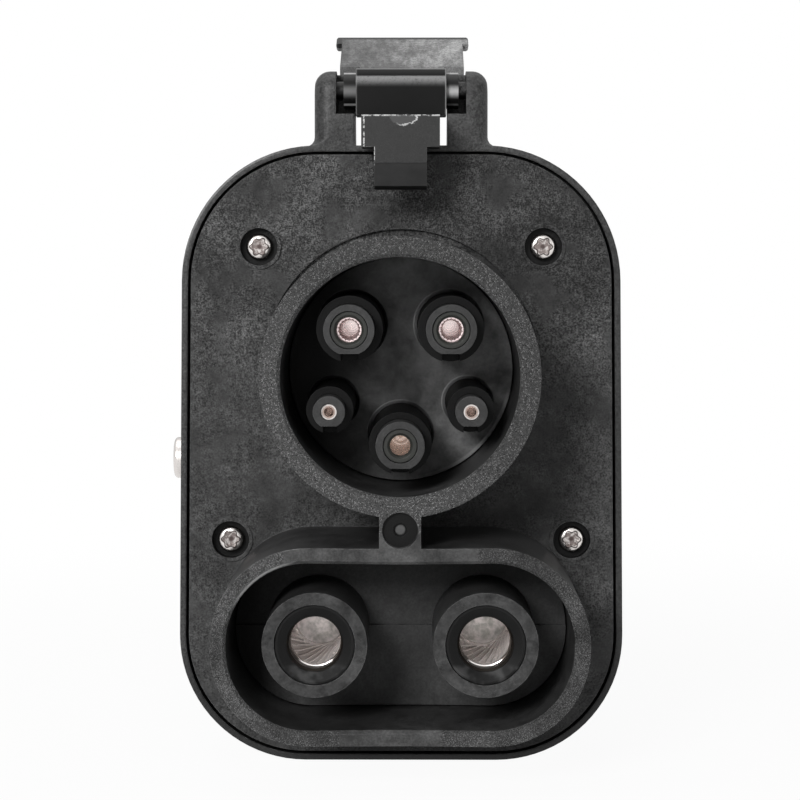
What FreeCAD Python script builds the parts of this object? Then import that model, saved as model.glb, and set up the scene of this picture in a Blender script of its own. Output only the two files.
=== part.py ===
import FreeCAD, Part

import math
import os
from types import SimpleNamespace

import Sketcher

# Electric vehicle charging adapter, in millimetres.
# X is to the right seen from the plug, Y runs from the plug to the handle end, Z is up.
# The origin lies on the axis of the round nose, at the front face of the face plate.

DIMENSIONS = [
    # body shell, set by its margins round the nose and the shroud
    ("side_margin_top", 14.25),
    ("side_margin_bottom", 7.55),
    ("top_margin", 14.9),
    ("bottom_margin", 8.1),
    ("top_flat_half", 13.55),
    ("body_corner_bottom", 21.0),
    ("body_length", 105.0),
    ("shoulder_length", 26.0),
    ("neck_length", 21.0),
    ("neck_width", 66.0),
    ("neck_height", 70.0),
    ("neck_drop", 14.5),
    ("neck_corner", 22.0),
    ("rear_round", 1.5),
    ("shell_wall", 2.5),
    ("shell_rim", 1.0),
    ("rear_wall", 3.0),
    # face plate with nose, shroud and rib
    ("plate_seam", 0.5),
    ("plate_thickness", 4.0),
    ("nose_width", 43.6),
    ("nose_bore", 37.1),
    ("nose_length", 26.0),
    ("nose_floor_depth", 22.4),
    ("mouth_chamfer", 0.5),
    ("root_groove", 1.1),
    ("root_groove_depth", 0.8),
    ("shroud_width", 59.2),
    ("shroud_height", 31.4),
    ("shroud_corner", 15.2),
    ("shroud_wall", 2.45),
    ("shroud_drop", 42.0),
    ("shroud_floor_depth", 18.0),
    ("shroud_waist", 0.3),
    ("waist_radius", 300.0),
    ("rib_width", 6.5),
    ("rib_mark_drop", 23.7),
    ("rib_mark_width", 5.6),
    ("rib_mark_depth", 0.8),
    ("rib_dimple_width", 2.0),
    ("rib_dimple_depth", 0.5),
    # seals and running gaps
    ("gasket_thickness", 1.0),
    ("gasket_width", 1.3),
    ("insert_gap", 0.25),
    ("contact_gap", 0.1),
    ("guard_recess", 0.4),
    ("insert_flange", 2.5),
    ("insert_flange_width", 2.0),
    # the five nose contacts
    ("line_out", 7.9),
    ("line_up", 7.3),
    ("line_sleeve", 10.4),
    ("line_face", 7.9),
    ("line_body", 5.7),
    ("line_hole", 3.9),
    ("signal_out", 11.0),
    ("signal_down", 5.35),
    ("signal_sleeve", 7.4),
    ("signal_face", 5.0),
    ("signal_body", 2.4),
    ("signal_hole", 1.5),
    ("ground_down", 10.6),
    ("ground_sleeve", 9.8),
    ("ground_face", 7.6),
    ("ground_body", 5.2),
    ("ground_hole", 3.2),
    ("sleeve_setback", 4.5),
    ("sleeve_gap", 0.05),
    ("sleeve_hole_chamfer", 0.5),
    ("bush_depth", 6.0),
    ("bush_gap", 0.05),
    ("notch_width", 2.8),
    ("signal_notch_width", 2.2),
    ("notch_bite", 0.3),
    ("notch_length", 3.2),
    ("guard_length", 1.6),
    ("contact_hole_depth", 17.0),
    ("collar_step", 0.9),
    ("collar_length", 2.0),
    ("contact_tail", 1.2),
    ("contact_tail_length", 3.2),
    # the two DC contacts
    ("dc_side_margin", 16.3),
    ("dc_lift", 0.4),
    ("dc_sleeve", 16.4),
    ("dc_body", 12.4),
    ("dc_guard_hole", 8.8),
    ("dc_hole", 8.2),
    ("dc_lip", 2.0),
    ("dc_rim_chamfer", 0.6),
    ("dc_guard_length", 1.4),
    ("dc_guard_land", 0.4),
    ("dc_guard_sink", 0.9),
    ("cage_length", 19.0),
    ("cage_width", 9.5),
    ("cage_ring", 1.5),
    ("cage_ring_wall", 0.25),
    ("cage_strip", 0.25),
    ("cage_strip_width", 0.9),
    ("cage_waist", 8.3),
    ("dc_collar", 15.0),
    ("dc_collar_length", 3.5),
    ("dc_tail", 7.0),
    ("dc_rivet_stand", 0.8),
    ("floor_step", 0.5),
    # screws that hold the face plate
    ("screw_upper_inset", 12.55),
    ("screw_upper_drop", 16.7),
    ("screw_lower_inset", 8.75),
    ("screw_lower_rise", 37.1),
    ("screw_head", 4.4),
    ("screw_head_height", 1.4),
    ("head_rounding_share", 0.6),
    ("screw_shank", 2.6),
    ("screw_length", 12.0),
    ("screw_hole", 3.0),
    ("screw_lobe_circle", 1.9),
    ("screw_lobe", 0.62),
    ("screw_lobe_depth", 0.9),
    ("seat_width", 6.2),
    ("seat_depth", 1.6),
    ("seat_rim", 0.6),
    ("seat_rim_height", 0.25),
    ("boss_width", 7.0),
    ("boss_length", 15.0),
    ("boss_web", 3.0),
    # hinge ears and latch, whose rises are measured from the top of the body
    ("ear_outside", 28.7),
    ("ear_gap_top", 21.5),
    ("ear_gap_bottom", 15.3),
    ("ear_step_rise", 5.2),
    ("ear_corner", 2.6),
    ("ear_foot", 1.5),
    ("pivot_back", 4.0),
    ("pivot_rise", 9.2),
    ("lug_radius", 3.6),
    ("lug_top_rise", 3.2),
    ("lug_rim_rise", 6.0),
    ("cheek_thickness", 2.0),
    ("lug_corner", 3.5),
    ("lug_knee_rise", 4.2),
    ("lug_knee_curve", 7.2),
    ("lug_foot_reach", 7.2),
    ("latch_pin_width", 3.0),
    ("pin_running_gap", 0.05),
    ("pin_end_recess", 1.2),
    ("hub_width", 19.0),
    ("hub_boss", 6.0),
    ("block_width", 14.9),
    ("block_rise", 12.8),
    ("block_front_gap", 0.2),
    ("block_round", 2.7),
    ("block_back", 8.6),
    ("arm_width", 12.5),
    ("arm_reach", 14.0),
    ("arm_front_rise", 4.3),
    ("arm_back_rise", 5.0),
    ("arm_under_drop", 0.8),
    ("arm_bend_rise", 1.7),
    ("arm_curve", 3.6),
    ("hook_width", 8.4),
    ("hook_length", 6.0),
    ("hook_ramp_drop", 3.3),
    ("hook_ramp_run", 3.4),
    ("hook_bottom_drop", 7.5),
    ("rear_arm_rise", 13.5),
    ("rear_arm_under_rise", 10.1),
    ("rear_arm_curve", 14.4),
    ("pad_start", 25.0),
    ("pad_end", 46.0),
    ("pad_rise", 22.6),
    ("pad_thickness", 3.0),
    ("pad_slant_drop", 3.6),
    ("pad_slant_run", 1.5),
    ("pad_width", 22.0),
    ("pad_width_start", 3.6),
    ("pad_lip_width", 24.2),
    ("pad_lip_length", 5.6),
    ("pad_lip_under_run", 0.4),
    ("pad_lip_under_drop", 0.8),
    ("pad_lip_round", 0.5),
    ("latch_fillet", 1.1),
    ("spring_back", 19.0),
    ("spring_width", 6.4),
    ("spring_wire", 0.9),
    ("spring_turns", 4.5),
    ("spring_pocket", 0.8),
    ("spring_pocket_gap", 0.4),
    ("spring_seat_drop", 1.2),
    ("spring_seat_gap", 0.3),
    ("spring_peg_height", 2.0),
    # round metal head on the left side
    ("stud_back", 10.0),
    ("stud_drop", 16.0),
    ("stud_head", 7.0),
    ("stud_head_height", 2.0),
    ("stud_shank", 3.4),
    ("stud_shank_length", 6.0),
    ("stud_ring", 4.6),
    ("stud_ring_depth", 0.5),
    ("stud_crown", 0.7),
    # handle-side socket
    ("inlet_side_margin", 10.0),
    ("inlet_top_margin", 13.0),
    ("inlet_corner_top", 15.0),
    ("inlet_corner_bottom", 19.0),
    ("inlet_wall", 2.2),
    ("inlet_gap", 0.3),
    ("inlet_depth", 32.0),
    ("inlet_floor", 3.5),
    ("inlet_lip", 1.0),
    ("inlet_shoulder", 1.2),
    ("inlet_flange_setback", 14.0),
    ("inlet_flange_thickness", 3.0),
    ("inlet_flange_gap", 0.7),
    ("inlet_screw_inset", 10.5),
    ("inlet_boss_width", 7.5),
    ("inlet_screw_head", 5.0),
    ("inlet_screw_head_height", 1.6),
    ("inlet_screw_length", 8.0),
    ("power_pin_out", 10.5),
    ("power_pin_up", 5.0),
    ("power_pin_width", 9.0),
    ("power_pin_length", 24.0),
    ("power_collar", 12.0),
    ("power_collar_length", 2.5),
    ("power_tail", 6.0),
    ("pin_tip_length", 2.2),
    ("pin_tip_fillet", 1.6),
    ("pin_rounding_share", 0.6),
    ("earth_pin_down", 7.5),
    ("earth_pin_width", 6.0),
    ("earth_pin_length", 26.0),
    ("earth_collar", 8.4),
    ("earth_tail", 4.0),
    ("small_pin_out", 10.0),
    ("small_pin_down", 12.0),
    ("small_pin_width", 3.0),
    ("small_pin_length", 20.0),
    ("small_collar", 5.0),
    ("small_tail", 2.0),
    ("small_collar_length", 2.0),
    # conductors and electronics inside
    ("bar_width", 12.0),
    ("bar_thickness", 3.0),
    ("bar_inner_bend", 1.5),
    ("bar_run_drop", 20.0),
    ("bar_foot", 6.5),
    ("strap_width", 8.0),
    ("strap_thickness", 1.6),
    ("strap_inner_bend", 0.8),
    ("strap_run_drop", 17.2),
    ("strap_foot", 4.6),
    ("ground_tail", 2.4),
    ("ground_collar_extra", 2.0),
    ("board_half_width", 17.0),
    ("board_top", 13.0),
    ("board_bottom", 16.0),
    ("board_thickness", 1.6),
    ("board_corner", 2.0),
    ("board_hole_gap", 0.1),
    ("sensor_back", 30.0),
    ("sensor_length", 7.0),
    ("sensor_width", 5.0),
    ("sensor_height", 3.0),
    ("lead_width", 1.2),
    ("lead_out", 4.95),
    ("lead_bend", 3.0),
    ("lead_low", 23.5),
    ("lead_back", 50.0),
]

CAGE_STRIPS = 16
SCREW_LOBES = 6
SPRING_CORNERS = 8  # corners of the spring's path in one turn
BEND_SHARE = 0.45  # how much of a straight run each of its two bends may take
NEAR = 0.01  # two levels closer than this count as the same

doc = FreeCAD.newDocument("ChargingAdapter")
sheet = doc.addObject("Spreadsheet::Sheet", "Dims")


class Size:
    """A length together with the sheet expression that gives it."""

    def __init__(self, value, text):
        self.value = value
        self.text = text

    def __add__(self, other):
        other = as_size(other)
        return Size(self.value + other.value, "(%s + %s)" % (self.text, other.text))

    def __sub__(self, other):
        other = as_size(other)
        return Size(self.value - other.value, "(%s - %s)" % (self.text, other.text))

    def __mul__(self, other):
        other = as_size(other)
        return Size(self.value * other.value, "(%s * %s)" % (self.text, other.text))

    def __truediv__(self, other):
        other = as_size(other)
        return Size(self.value / other.value, "(%s / %s)" % (self.text, other.text))

    def __neg__(self):
        return Size(-self.value, "(-1 * %s)" % self.text)


def as_size(number):
    """Turn a plain number into a Size, and leave a Size as it is."""
    if isinstance(number, Size):
        return number
    return Size(float(number), repr(float(number)))


def root(size):
    """The square root of an area."""
    return Size(math.sqrt(size.value), "sqrt(%s)" % size.text)


def slope(rise, run):
    """The angle in degrees of a rise over a run."""
    angle = math.degrees(math.atan2(rise.value, run.value))
    return Size(angle, "atan2(%s; %s)" % (rise.text, run.text))


def fill_sheet():
    """Write every driving dimension to the sheet and return them by name."""
    sizes = {}
    for row, (alias, value) in enumerate(DIMENSIONS, start=1):
        sheet.set("A%d" % row, alias)
        sheet.set("B%d" % row, str(value))
        sheet.setAlias("B%d" % row, alias)
        sizes[alias] = Size(value, "Dims." + alias)
    doc.recompute()
    return SimpleNamespace(**sizes)


dim = fill_sheet()
ZERO = as_size(0)

# A sketch plane's normal points along its axis, except on the XZ plane, where it points to -Y.
NORMAL_SIGN = {"XY_Plane": 1, "XZ_Plane": -1, "YZ_Plane": 1}


def new_body(name, x=ZERO, y=ZERO, z=ZERO):
    """Start a sub-part at its place in the adapter."""
    body = doc.addObject("PartDesign::Body", name)
    body.Label = name
    for axis, size in zip("xyz", (x, y, z)):
        body.setExpression("Placement.Base." + axis, size.text)
    return body


def origin_item(body, role):
    """One of the body's own origin planes or axes."""
    return next(item for item in body.Origin.OriginFeatures if item.Role == role)


def sketch_on(body, role, level=ZERO):
    """A sketch on an origin plane of the body, moved to a level along that plane's axis."""
    sketch = body.newObject("Sketcher::SketchObject", "Sketch")
    sketch.AttachmentSupport = (origin_item(body, role), [""])
    sketch.MapMode = "FlatFace"
    offset = level if NORMAL_SIGN[role] > 0 else -level
    sketch.setExpression("AttachmentOffset.Base.z", offset.text)
    return sketch


def tie(sketch, kind, *place, size):
    """Add a dimension to the sketch and bind it to the sheet."""
    index = sketch.addConstraint(Sketcher.Constraint(kind, *place, size.value))
    sketch.setExpression("Constraints[%d]" % index, size.text)


def tie_point(sketch, geometry, end, across, up):
    """Place a point of the sketch by two bound distances from the origin."""
    tie(sketch, "DistanceX", -1, 1, geometry, end, size=across)
    tie(sketch, "DistanceY", -1, 1, geometry, end, size=up)


def circle(across, up, width):
    """A circle loop given by its centre and its width."""
    return SimpleNamespace(across=across, up=up, radius=width / 2, corners=None)


def outline(*corners):
    """A closed loop of straight sides. A corner is (across, up) or (across, up, radius)."""
    return SimpleNamespace(corners=[tuple(c) + (None,) * (3 - len(c)) for c in corners])


def box_outline(left, right, low, high, radius=None):
    """A rectangle loop, with equal round corners if a radius is given."""
    return outline(
        (left, high, radius), (left, low, radius), (right, low, radius), (right, high, radius)
    )


def corner_arc(before, corner, after, radius):
    """Tangent points, centre and turning sense of a round corner."""
    towards_before = (before - corner).normalize()
    towards_after = (after - corner).normalize()
    half = towards_before.getAngle(towards_after) / 2
    reach = radius / math.tan(half)
    middle = (towards_before + towards_after).normalize()
    centre = corner + middle * (radius / math.sin(half))
    turns_left = towards_after.cross(towards_before).z > 0
    return corner + towards_before * reach, corner + towards_after * reach, centre, turns_left


def add_round_corner(sketch, arriving, leaving, centre, radius, turns_left):
    """Draw the arc of a round corner and return it with its two end numbers."""
    first, last = (arriving, leaving) if turns_left else (leaving, arriving)
    start = math.atan2(first.y - centre.y, first.x - centre.x)
    stop = math.atan2(last.y - centre.y, last.x - centre.x)
    ring = Part.Circle(centre, FreeCAD.Vector(0, 0, 1), radius)
    arc = sketch.addGeometry(Part.ArcOfCircle(ring, start, stop), False)
    return (arc, 1, 2) if turns_left else (arc, 2, 1)


def draw_outline(sketch, corners):
    """Draw a closed loop through its corners and tie every corner and radius to the sheet."""
    count = len(corners)
    points = [FreeCAD.Vector(across.value, up.value, 0) for across, up, radius in corners]
    arrive, leave, arcs = list(points), list(points), [None] * count
    for i, (across, up, radius) in enumerate(corners):
        if radius is not None:
            spot = corner_arc(points[i - 1], points[i], points[(i + 1) % count], radius.value)
            arrive[i], leave[i] = spot[0], spot[1]
            arcs[i] = spot
    sides = []
    for i in range(count):
        line = Part.LineSegment(leave[i], arrive[(i + 1) % count])
        sides.append(sketch.addGeometry(line, False))
    for i, (across, up, radius) in enumerate(corners):
        side_in, side_out = sides[i - 1], sides[i]
        if radius is None:
            sketch.addConstraint(Sketcher.Constraint("Coincident", side_in, 2, side_out, 1))
            tie_point(sketch, side_out, 1, across, up)
            continue
        arriving, leaving, centre, turns_left = arcs[i]
        arc, first, last = add_round_corner(
            sketch, arriving, leaving, centre, radius.value, turns_left
        )
        sketch.addConstraint(Sketcher.Constraint("Tangent", side_in, 2, arc, first))
        sketch.addConstraint(Sketcher.Constraint("Tangent", arc, last, side_out, 1))
        tie(sketch, "Radius", arc, size=radius)
        tip = sketch.addGeometry(Part.Point(points[i]), True)
        tie_point(sketch, tip, 1, across, up)
        for side in (side_in, side_out):
            sketch.addConstraint(Sketcher.Constraint("PointOnObject", tip, 1, side))


def draw_circle(sketch, loop):
    """Draw a circle and tie its centre and radius to the sheet."""
    centre = FreeCAD.Vector(loop.across.value, loop.up.value, 0)
    ring = Part.Circle(centre, FreeCAD.Vector(0, 0, 1), loop.radius.value)
    index = sketch.addGeometry(ring, False)
    tie_point(sketch, index, 3, loop.across, loop.up)
    tie(sketch, "Radius", index, size=loop.radius)


def draw(sketch, loops):
    """Draw all loops of a section."""
    for loop in loops:
        if loop.corners is None:
            draw_circle(sketch, loop)
        else:
            draw_outline(sketch, loop.corners)


def add(body, loops, start, stop, role="XZ_Plane"):
    """Add the section between two levels."""
    sketch = sketch_on(body, role, start)
    draw(sketch, loops)
    pad = body.newObject("PartDesign::Pad", "Pad")
    pad.Profile = sketch
    span = stop - start
    forwards = (span.value > 0) == (NORMAL_SIGN[role] > 0)
    pad.Reversed = not forwards
    pad.setExpression("Length", (span if span.value > 0 else -span).text)
    return pad


def cut(body, loops, start, stop, role="XZ_Plane"):
    """Cut the section out between two levels."""
    sketch = sketch_on(body, role, start)
    draw(sketch, loops)
    pocket = body.newObject("PartDesign::Pocket", "Pocket")
    pocket.Profile = sketch
    span = stop - start
    forwards = (span.value > 0) == (NORMAL_SIGN[role] > 0)
    pocket.Reversed = forwards
    pocket.setExpression("Length", (span if span.value > 0 else -span).text)
    return pocket


def loft(body, kind, section_a, level_a, section_b, level_b):
    """Join two sections by a ruled loft that adds or subtracts."""
    first = sketch_on(body, "XZ_Plane", level_a)
    draw(first, section_a)
    second = sketch_on(body, "XZ_Plane", level_b)
    draw(second, section_b)
    feature = body.newObject("PartDesign::" + kind, kind)
    feature.Profile = first
    feature.Sections = [second]
    feature.Ruled = True
    return feature


def turned(name, profile, x=ZERO, z=ZERO):
    """A piece turned about an axis along Y. Its outline gives radius and distance back."""
    body = new_body(name, x=x, z=z)
    sketch = sketch_on(body, "XY_Plane")
    draw_outline(sketch, outline(*profile).corners)
    feature = body.newObject("PartDesign::Revolution", "Turning")
    feature.Profile = sketch
    feature.ReferenceAxis = (sketch, ["V_Axis"])
    feature.Angle = 360
    return body


def repeat_around(body, feature, count):
    """Repeat a feature evenly about the body's Y axis."""
    pattern = body.newObject("PartDesign::PolarPattern", "Pattern")
    pattern.Originals = [feature]
    pattern.Axis = (origin_item(body, "Y_Axis"), [""])
    pattern.Angle = 360
    pattern.Occurrences = count
    body.Tip = pattern
    return pattern


def dress_edges(body, kind, size, chosen):
    """Fillet or chamfer the edges of the body that the test chooses."""
    doc.recompute()
    base = body.Tip
    names = []
    for number, edge in enumerate(base.Shape.Edges, start=1):
        if chosen(edge):
            names.append("Edge%d" % number)
    if not names:
        raise ValueError("no edge found to dress on " + body.Label)
    feature = body.newObject("PartDesign::" + kind, kind)
    feature.Base = (base, names)
    feature.setExpression("Radius" if kind == "Fillet" else "Size", size.text)
    return feature


def lies_at(edge, **levels):
    """True if the whole edge lies at the given levels, such as y=0."""
    box = edge.BoundBox
    for axis, size in levels.items():
        low = getattr(box, axis.upper() + "Min")
        high = getattr(box, axis.upper() + "Max")
        if abs(low - size.value) > NEAR or abs(high - size.value) > NEAR:
            return False
    return True


# Levels along Y that several pieces share
front = -dim.nose_length
nose_floor = front + dim.nose_floor_depth
shroud_floor = front + dim.shroud_floor_depth
plate_back = dim.plate_thickness
insert_back = plate_back + dim.insert_flange
ledge = plate_back + dim.gasket_thickness
collar_back = insert_back + dim.collar_length
neck_start = dim.body_length - dim.neck_length
shoulder_start = neck_start - dim.shoulder_length
inlet_flange_front = dim.body_length - dim.inlet_flange_setback
inlet_mouth = dim.body_length + dim.inlet_lip
inlet_floor_back = inlet_mouth - dim.inlet_depth
inlet_floor_front = inlet_floor_back - dim.inlet_floor
inlet_up = -dim.neck_drop
sleeve_front = front + dim.sleeve_setback
bush_seat = sleeve_front + dim.bush_depth

# Levels along Z and half widths that several pieces share
dc_up = dim.dc_lift - dim.shroud_drop
dc_out = dim.shroud_width / 2 - dim.dc_side_margin
body_top = dim.nose_width / 2 + dim.top_margin
body_bottom = -(dim.shroud_drop + dim.shroud_height / 2 + dim.bottom_margin)
half_width_top = dim.nose_width / 2 + dim.side_margin_top
corner_top = half_width_top - dim.top_flat_half
half_width_bottom = dim.shroud_width / 2 + dim.side_margin_bottom
pivot_up = body_top + dim.pivot_rise
ear_step_up = body_top + dim.ear_step_rise
lug_top = pivot_up + dim.lug_top_rise
lug_crown = lug_top - dim.lug_radius
lug_rim_foot = body_top + dim.lug_rim_rise
rear_arm_under = body_top + dim.rear_arm_under_rise
spring_seat_up = rear_arm_under - dim.spring_seat_drop
bar_middle = (dc_out + dim.power_pin_out) / 2


def body_section(inset):
    """The outer section of the body, moved inwards by an inset."""
    top, bottom = body_top - inset, body_bottom + inset
    half_top, half_bottom = half_width_top - inset, half_width_bottom - inset
    round_top, round_bottom = corner_top - inset, dim.body_corner_bottom - inset
    return outline(
        (-half_top, top, round_top),
        (-half_bottom, bottom, round_bottom),
        (half_bottom, bottom, round_bottom),
        (half_top, top, round_top),
    )


def side_at(up):
    """Half the width of the body at a level of its straight sides."""
    lean = (half_width_bottom - half_width_top) / (body_top - body_bottom)
    return half_width_top + lean * (body_top - up)


def corner_side_at(up, inset):
    """How far out the round top corner is at a level, on a surface inside the body's own."""
    lean = (half_width_bottom - half_width_top) / (body_top - body_bottom)
    radius = corner_top
    middle = half_width_top + radius * lean - radius * root(lean * lean + 1)
    rise = up - (body_top - radius)
    reach = radius - inset
    return middle + root(reach * reach - rise * rise)


def neck_section(inset):
    """The section of the handle end, moved inwards by an inset."""
    half = dim.neck_width / 2 - inset
    rise = dim.neck_height / 2 - inset
    return box_outline(
        -half, half, inlet_up - rise, inlet_up + rise, dim.neck_corner - inset
    )


def inlet_section(growth):
    """The mouth of the handle-side socket, made larger by a growth."""
    half = dim.neck_width / 2 - dim.inlet_side_margin + growth
    rise = dim.neck_height / 2 - dim.inlet_top_margin + growth
    round_top, round_bottom = dim.inlet_corner_top + growth, dim.inlet_corner_bottom + growth
    return outline(
        (-half, inlet_up + rise, round_top),
        (-half, inlet_up - rise, round_bottom),
        (half, inlet_up - rise, round_bottom),
        (half, inlet_up + rise, round_top),
    )


def shroud_section(inset):
    """The long round shape of the DC shroud, slightly waisted in the middle."""
    half, rise = dim.shroud_width / 2 - inset, dim.shroud_height / 2 - inset
    end = dim.shroud_corner - inset
    middle = rise - dim.shroud_waist
    centre = -dim.shroud_drop
    return outline(
        (-half, centre + rise, end),
        (-half, centre - rise, end),
        (ZERO, centre - middle, dim.waist_radius),
        (half, centre - rise, end),
        (half, centre + rise, end),
        (ZERO, centre + middle, dim.waist_radius),
    )


def plate_screw_places():
    """Name, across and up of each face plate screw."""
    places = []
    for side, sign in (("left", -1), ("right", 1)):
        upper_out = half_width_top - dim.screw_upper_inset
        lower_out = half_width_bottom - dim.screw_lower_inset
        places.append(("upper_" + side, upper_out * sign, body_top - dim.screw_upper_drop))
        places.append(("lower_" + side, lower_out * sign, body_bottom + dim.screw_lower_rise))
    return places


def inlet_screw_places():
    """Name, across and up of each screw of the handle-side socket."""
    places = []
    for side, sign in (("left", -1), ("right", 1)):
        for level, rise in (("upper", 1), ("lower", -1)):
            out = dim.neck_width / 2 - dim.inlet_screw_inset
            up = inlet_up + (dim.neck_height / 2 - dim.inlet_screw_inset) * rise
            places.append((level + "_" + side, out * sign, up))
    return places


def boss_web(across, up):
    """A web from a screw boss out to the middle of the side wall."""
    low, high = up - dim.boss_web / 2, up + dim.boss_web / 2
    if up.value > (body_top - corner_top).value:
        wall = corner_side_at(high, dim.shell_wall / 2)
    else:
        wall = side_at(high) - dim.shell_wall / 2
    if across.value > 0:
        return box_outline(across, wall, low, high)
    return box_outline(-wall, across, low, high)


def make_rear_shell():
    """The hollow body with its shoulder, its neck and the two hinge ears."""
    body = new_body("rear_shell")
    add(body, [body_section(ZERO)], ZERO, shoulder_start)
    loft(
        body, "AdditiveLoft",
        [body_section(ZERO)], shoulder_start, [neck_section(ZERO)], neck_start,
    )
    add(body, [neck_section(ZERO)], neck_start, dim.body_length)
    dress_edges(body, "Fillet", dim.rear_round, lambda edge: lies_at(edge, y=dim.body_length))
    half_ears = dim.ear_outside / 2
    lug_front, cheek_front = dim.pivot_back - dim.lug_radius, dim.pivot_back + dim.lug_radius
    lug_back = cheek_front + dim.cheek_thickness
    lug_foot = body_top - dim.shell_wall / 2
    knee = body_top + dim.lug_knee_rise
    lug = outline(
        (lug_front, lug_top, dim.lug_corner),
        (ZERO, knee, dim.lug_knee_curve),
        (ZERO, lug_foot),
        (dim.pivot_back + dim.lug_foot_reach, lug_foot),
        (lug_back, knee, dim.lug_radius),
        (lug_back, lug_top, dim.lug_corner),
    )
    add(body, [lug], -half_ears, half_ears, role="YZ_Plane")
    dress_edges(
        body, "Fillet", dim.ear_corner,
        lambda edge: is_lug_rim(edge, half_ears),
    )
    dress_edges(
        body, "Fillet", dim.ear_foot,
        lambda edge: is_lug_foot(edge, half_ears),
    )
    cut(body, [body_section(dim.shell_rim)], ZERO, ledge)
    inner_top = box_outline(
        -dim.ear_gap_top / 2, dim.ear_gap_top / 2, ear_step_up, lug_top + dim.lug_radius
    )
    inner_low = box_outline(
        -dim.ear_gap_bottom / 2, dim.ear_gap_bottom / 2, body_top, lug_top
    )
    ear_end = lug_back + dim.lug_foot_reach
    cut(body, [inner_top], -dim.lug_radius, cheek_front)
    cut(body, [inner_low], -dim.lug_radius, ear_end)
    cut(body, [body_section(dim.shell_wall)], ZERO, shoulder_start)
    loft(
        body, "SubtractiveLoft",
        [body_section(dim.shell_wall)], shoulder_start,
        [neck_section(dim.shell_wall)], neck_start,
    )
    inner_back = dim.body_length - dim.rear_wall
    cut(body, [neck_section(dim.shell_wall)], neck_start, inner_back)
    cut(body, [inlet_section(dim.inlet_wall + dim.inlet_gap)], inner_back, dim.body_length)
    for name, across, up in plate_screw_places():
        add(body, [circle(across, up, dim.boss_width)], ledge, ledge + dim.boss_length)
        add(body, [boss_web(across, up)], ledge, ledge + dim.boss_length)
        cut(body, [circle(across, up, dim.screw_shank)], ledge, ledge + dim.boss_length)
    flange_back = inlet_flange_front + dim.inlet_flange_thickness
    for name, across, up in inlet_screw_places():
        add(body, [circle(across, up, dim.inlet_boss_width)], inner_back, flange_back)
        cut(body, [circle(across, up, dim.screw_shank)], flange_back, inner_back)
    pin_hole = circle(dim.pivot_back, pivot_up, dim.latch_pin_width)
    cut(body, [pin_hole], -half_ears, half_ears, role="YZ_Plane")
    pocket = circle(ZERO, dim.spring_back, dim.spring_width + dim.spring_pocket_gap)
    cut(body, [pocket], body_top, body_top - dim.spring_pocket, role="XY_Plane")
    stud_hole = circle(dim.stud_back, -dim.stud_drop, dim.stud_shank)
    wall_in = dim.shell_wall * 2 - side_at(-dim.stud_drop)
    cut(body, [stud_hole], -half_width_bottom - dim.shell_wall, wall_in, role="YZ_Plane")
    return body


def on_side(edge, half):
    """True for an edge that lies in a side face half a width from the middle."""
    box = edge.BoundBox
    return box.XLength < NEAR and abs(abs(box.Center.x) - half.value) < NEAR


def is_lug_rim(edge, half_ears):
    """True for the edges round the upper part of an ear's outer side."""
    box = edge.BoundBox
    above = box.ZMax > lug_crown.value and box.ZMin > lug_rim_foot.value
    return on_side(edge, half_ears) and above


def is_lug_foot(edge, half_ears):
    """True for the edge where an ear's outer side meets the top of the body."""
    box = edge.BoundBox
    level = box.ZLength < NEAR and abs(box.ZMin - body_top.value) < dim.ear_foot.value
    return on_side(edge, half_ears) and level


def make_face_plate():
    """One moulding: plate, nose tube, DC shroud, bridge rib and screw seats."""
    body = new_body("face_plate")
    add(body, [body_section(dim.shell_rim + dim.plate_seam)], ZERO, plate_back)
    groove = circle(ZERO, ZERO, dim.nose_width + dim.root_groove * 2)
    cut(body, [groove], ZERO, dim.root_groove_depth)
    add(body, [circle(ZERO, ZERO, dim.nose_width)], dim.root_groove_depth, front)
    add(body, [shroud_section(ZERO)], ZERO, front)
    half_rib = dim.rib_width / 2
    rib_top = -(dim.nose_width / 2 - dim.shroud_wall)
    rib_low = -(dim.shroud_drop - dim.shroud_height / 2) - dim.shroud_wall / 2
    add(body, [box_outline(-half_rib, half_rib, rib_low, rib_top)], ZERO, front)
    cut(body, [circle(ZERO, ZERO, dim.nose_bore)], front, plate_back)
    cut(body, [shroud_section(dim.shroud_wall)], front, plate_back)
    dress_edges(
        body, "Chamfer", dim.mouth_chamfer,
        lambda edge: lies_at(edge, y=front) and is_mouth_edge(edge),
    )
    mark_up = -dim.rib_mark_drop
    mark_floor = front + dim.rib_mark_depth
    cut(body, [circle(ZERO, mark_up, dim.rib_mark_width)], front, mark_floor)
    dimple = circle(ZERO, mark_up, dim.rib_dimple_width)
    cut(body, [dimple], mark_floor, mark_floor + dim.rib_dimple_depth)
    rim_front = -dim.seat_rim_height
    for name, across, up in plate_screw_places():
        add(body, [circle(across, up, dim.seat_width + dim.seat_rim * 2)], ZERO, rim_front)
        cut(body, [circle(across, up, dim.seat_width)], rim_front, dim.seat_depth)
        cut(body, [circle(across, up, dim.screw_hole)], dim.seat_depth, plate_back)
    return body


def lies_within(edge, up, half, rise):
    """True if the edge lies inside an upright rectangle on the middle plane."""
    box = edge.BoundBox
    across = max(abs(box.XMin), abs(box.XMax)) < half.value + NEAR
    below = box.ZMax < (up + rise).value + NEAR
    above = box.ZMin > (up - rise).value - NEAR
    return across and below and above


def is_mouth_edge(edge):
    """True for the inner edges of the nose tube and of the DC shroud."""
    bore = dim.nose_bore / 2
    half = dim.shroud_width / 2 - dim.shroud_wall
    rise = dim.shroud_height / 2 - dim.shroud_wall
    in_nose = lies_within(edge, ZERO, bore, bore)
    return in_nose or lies_within(edge, -dim.shroud_drop, half, rise)


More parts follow.
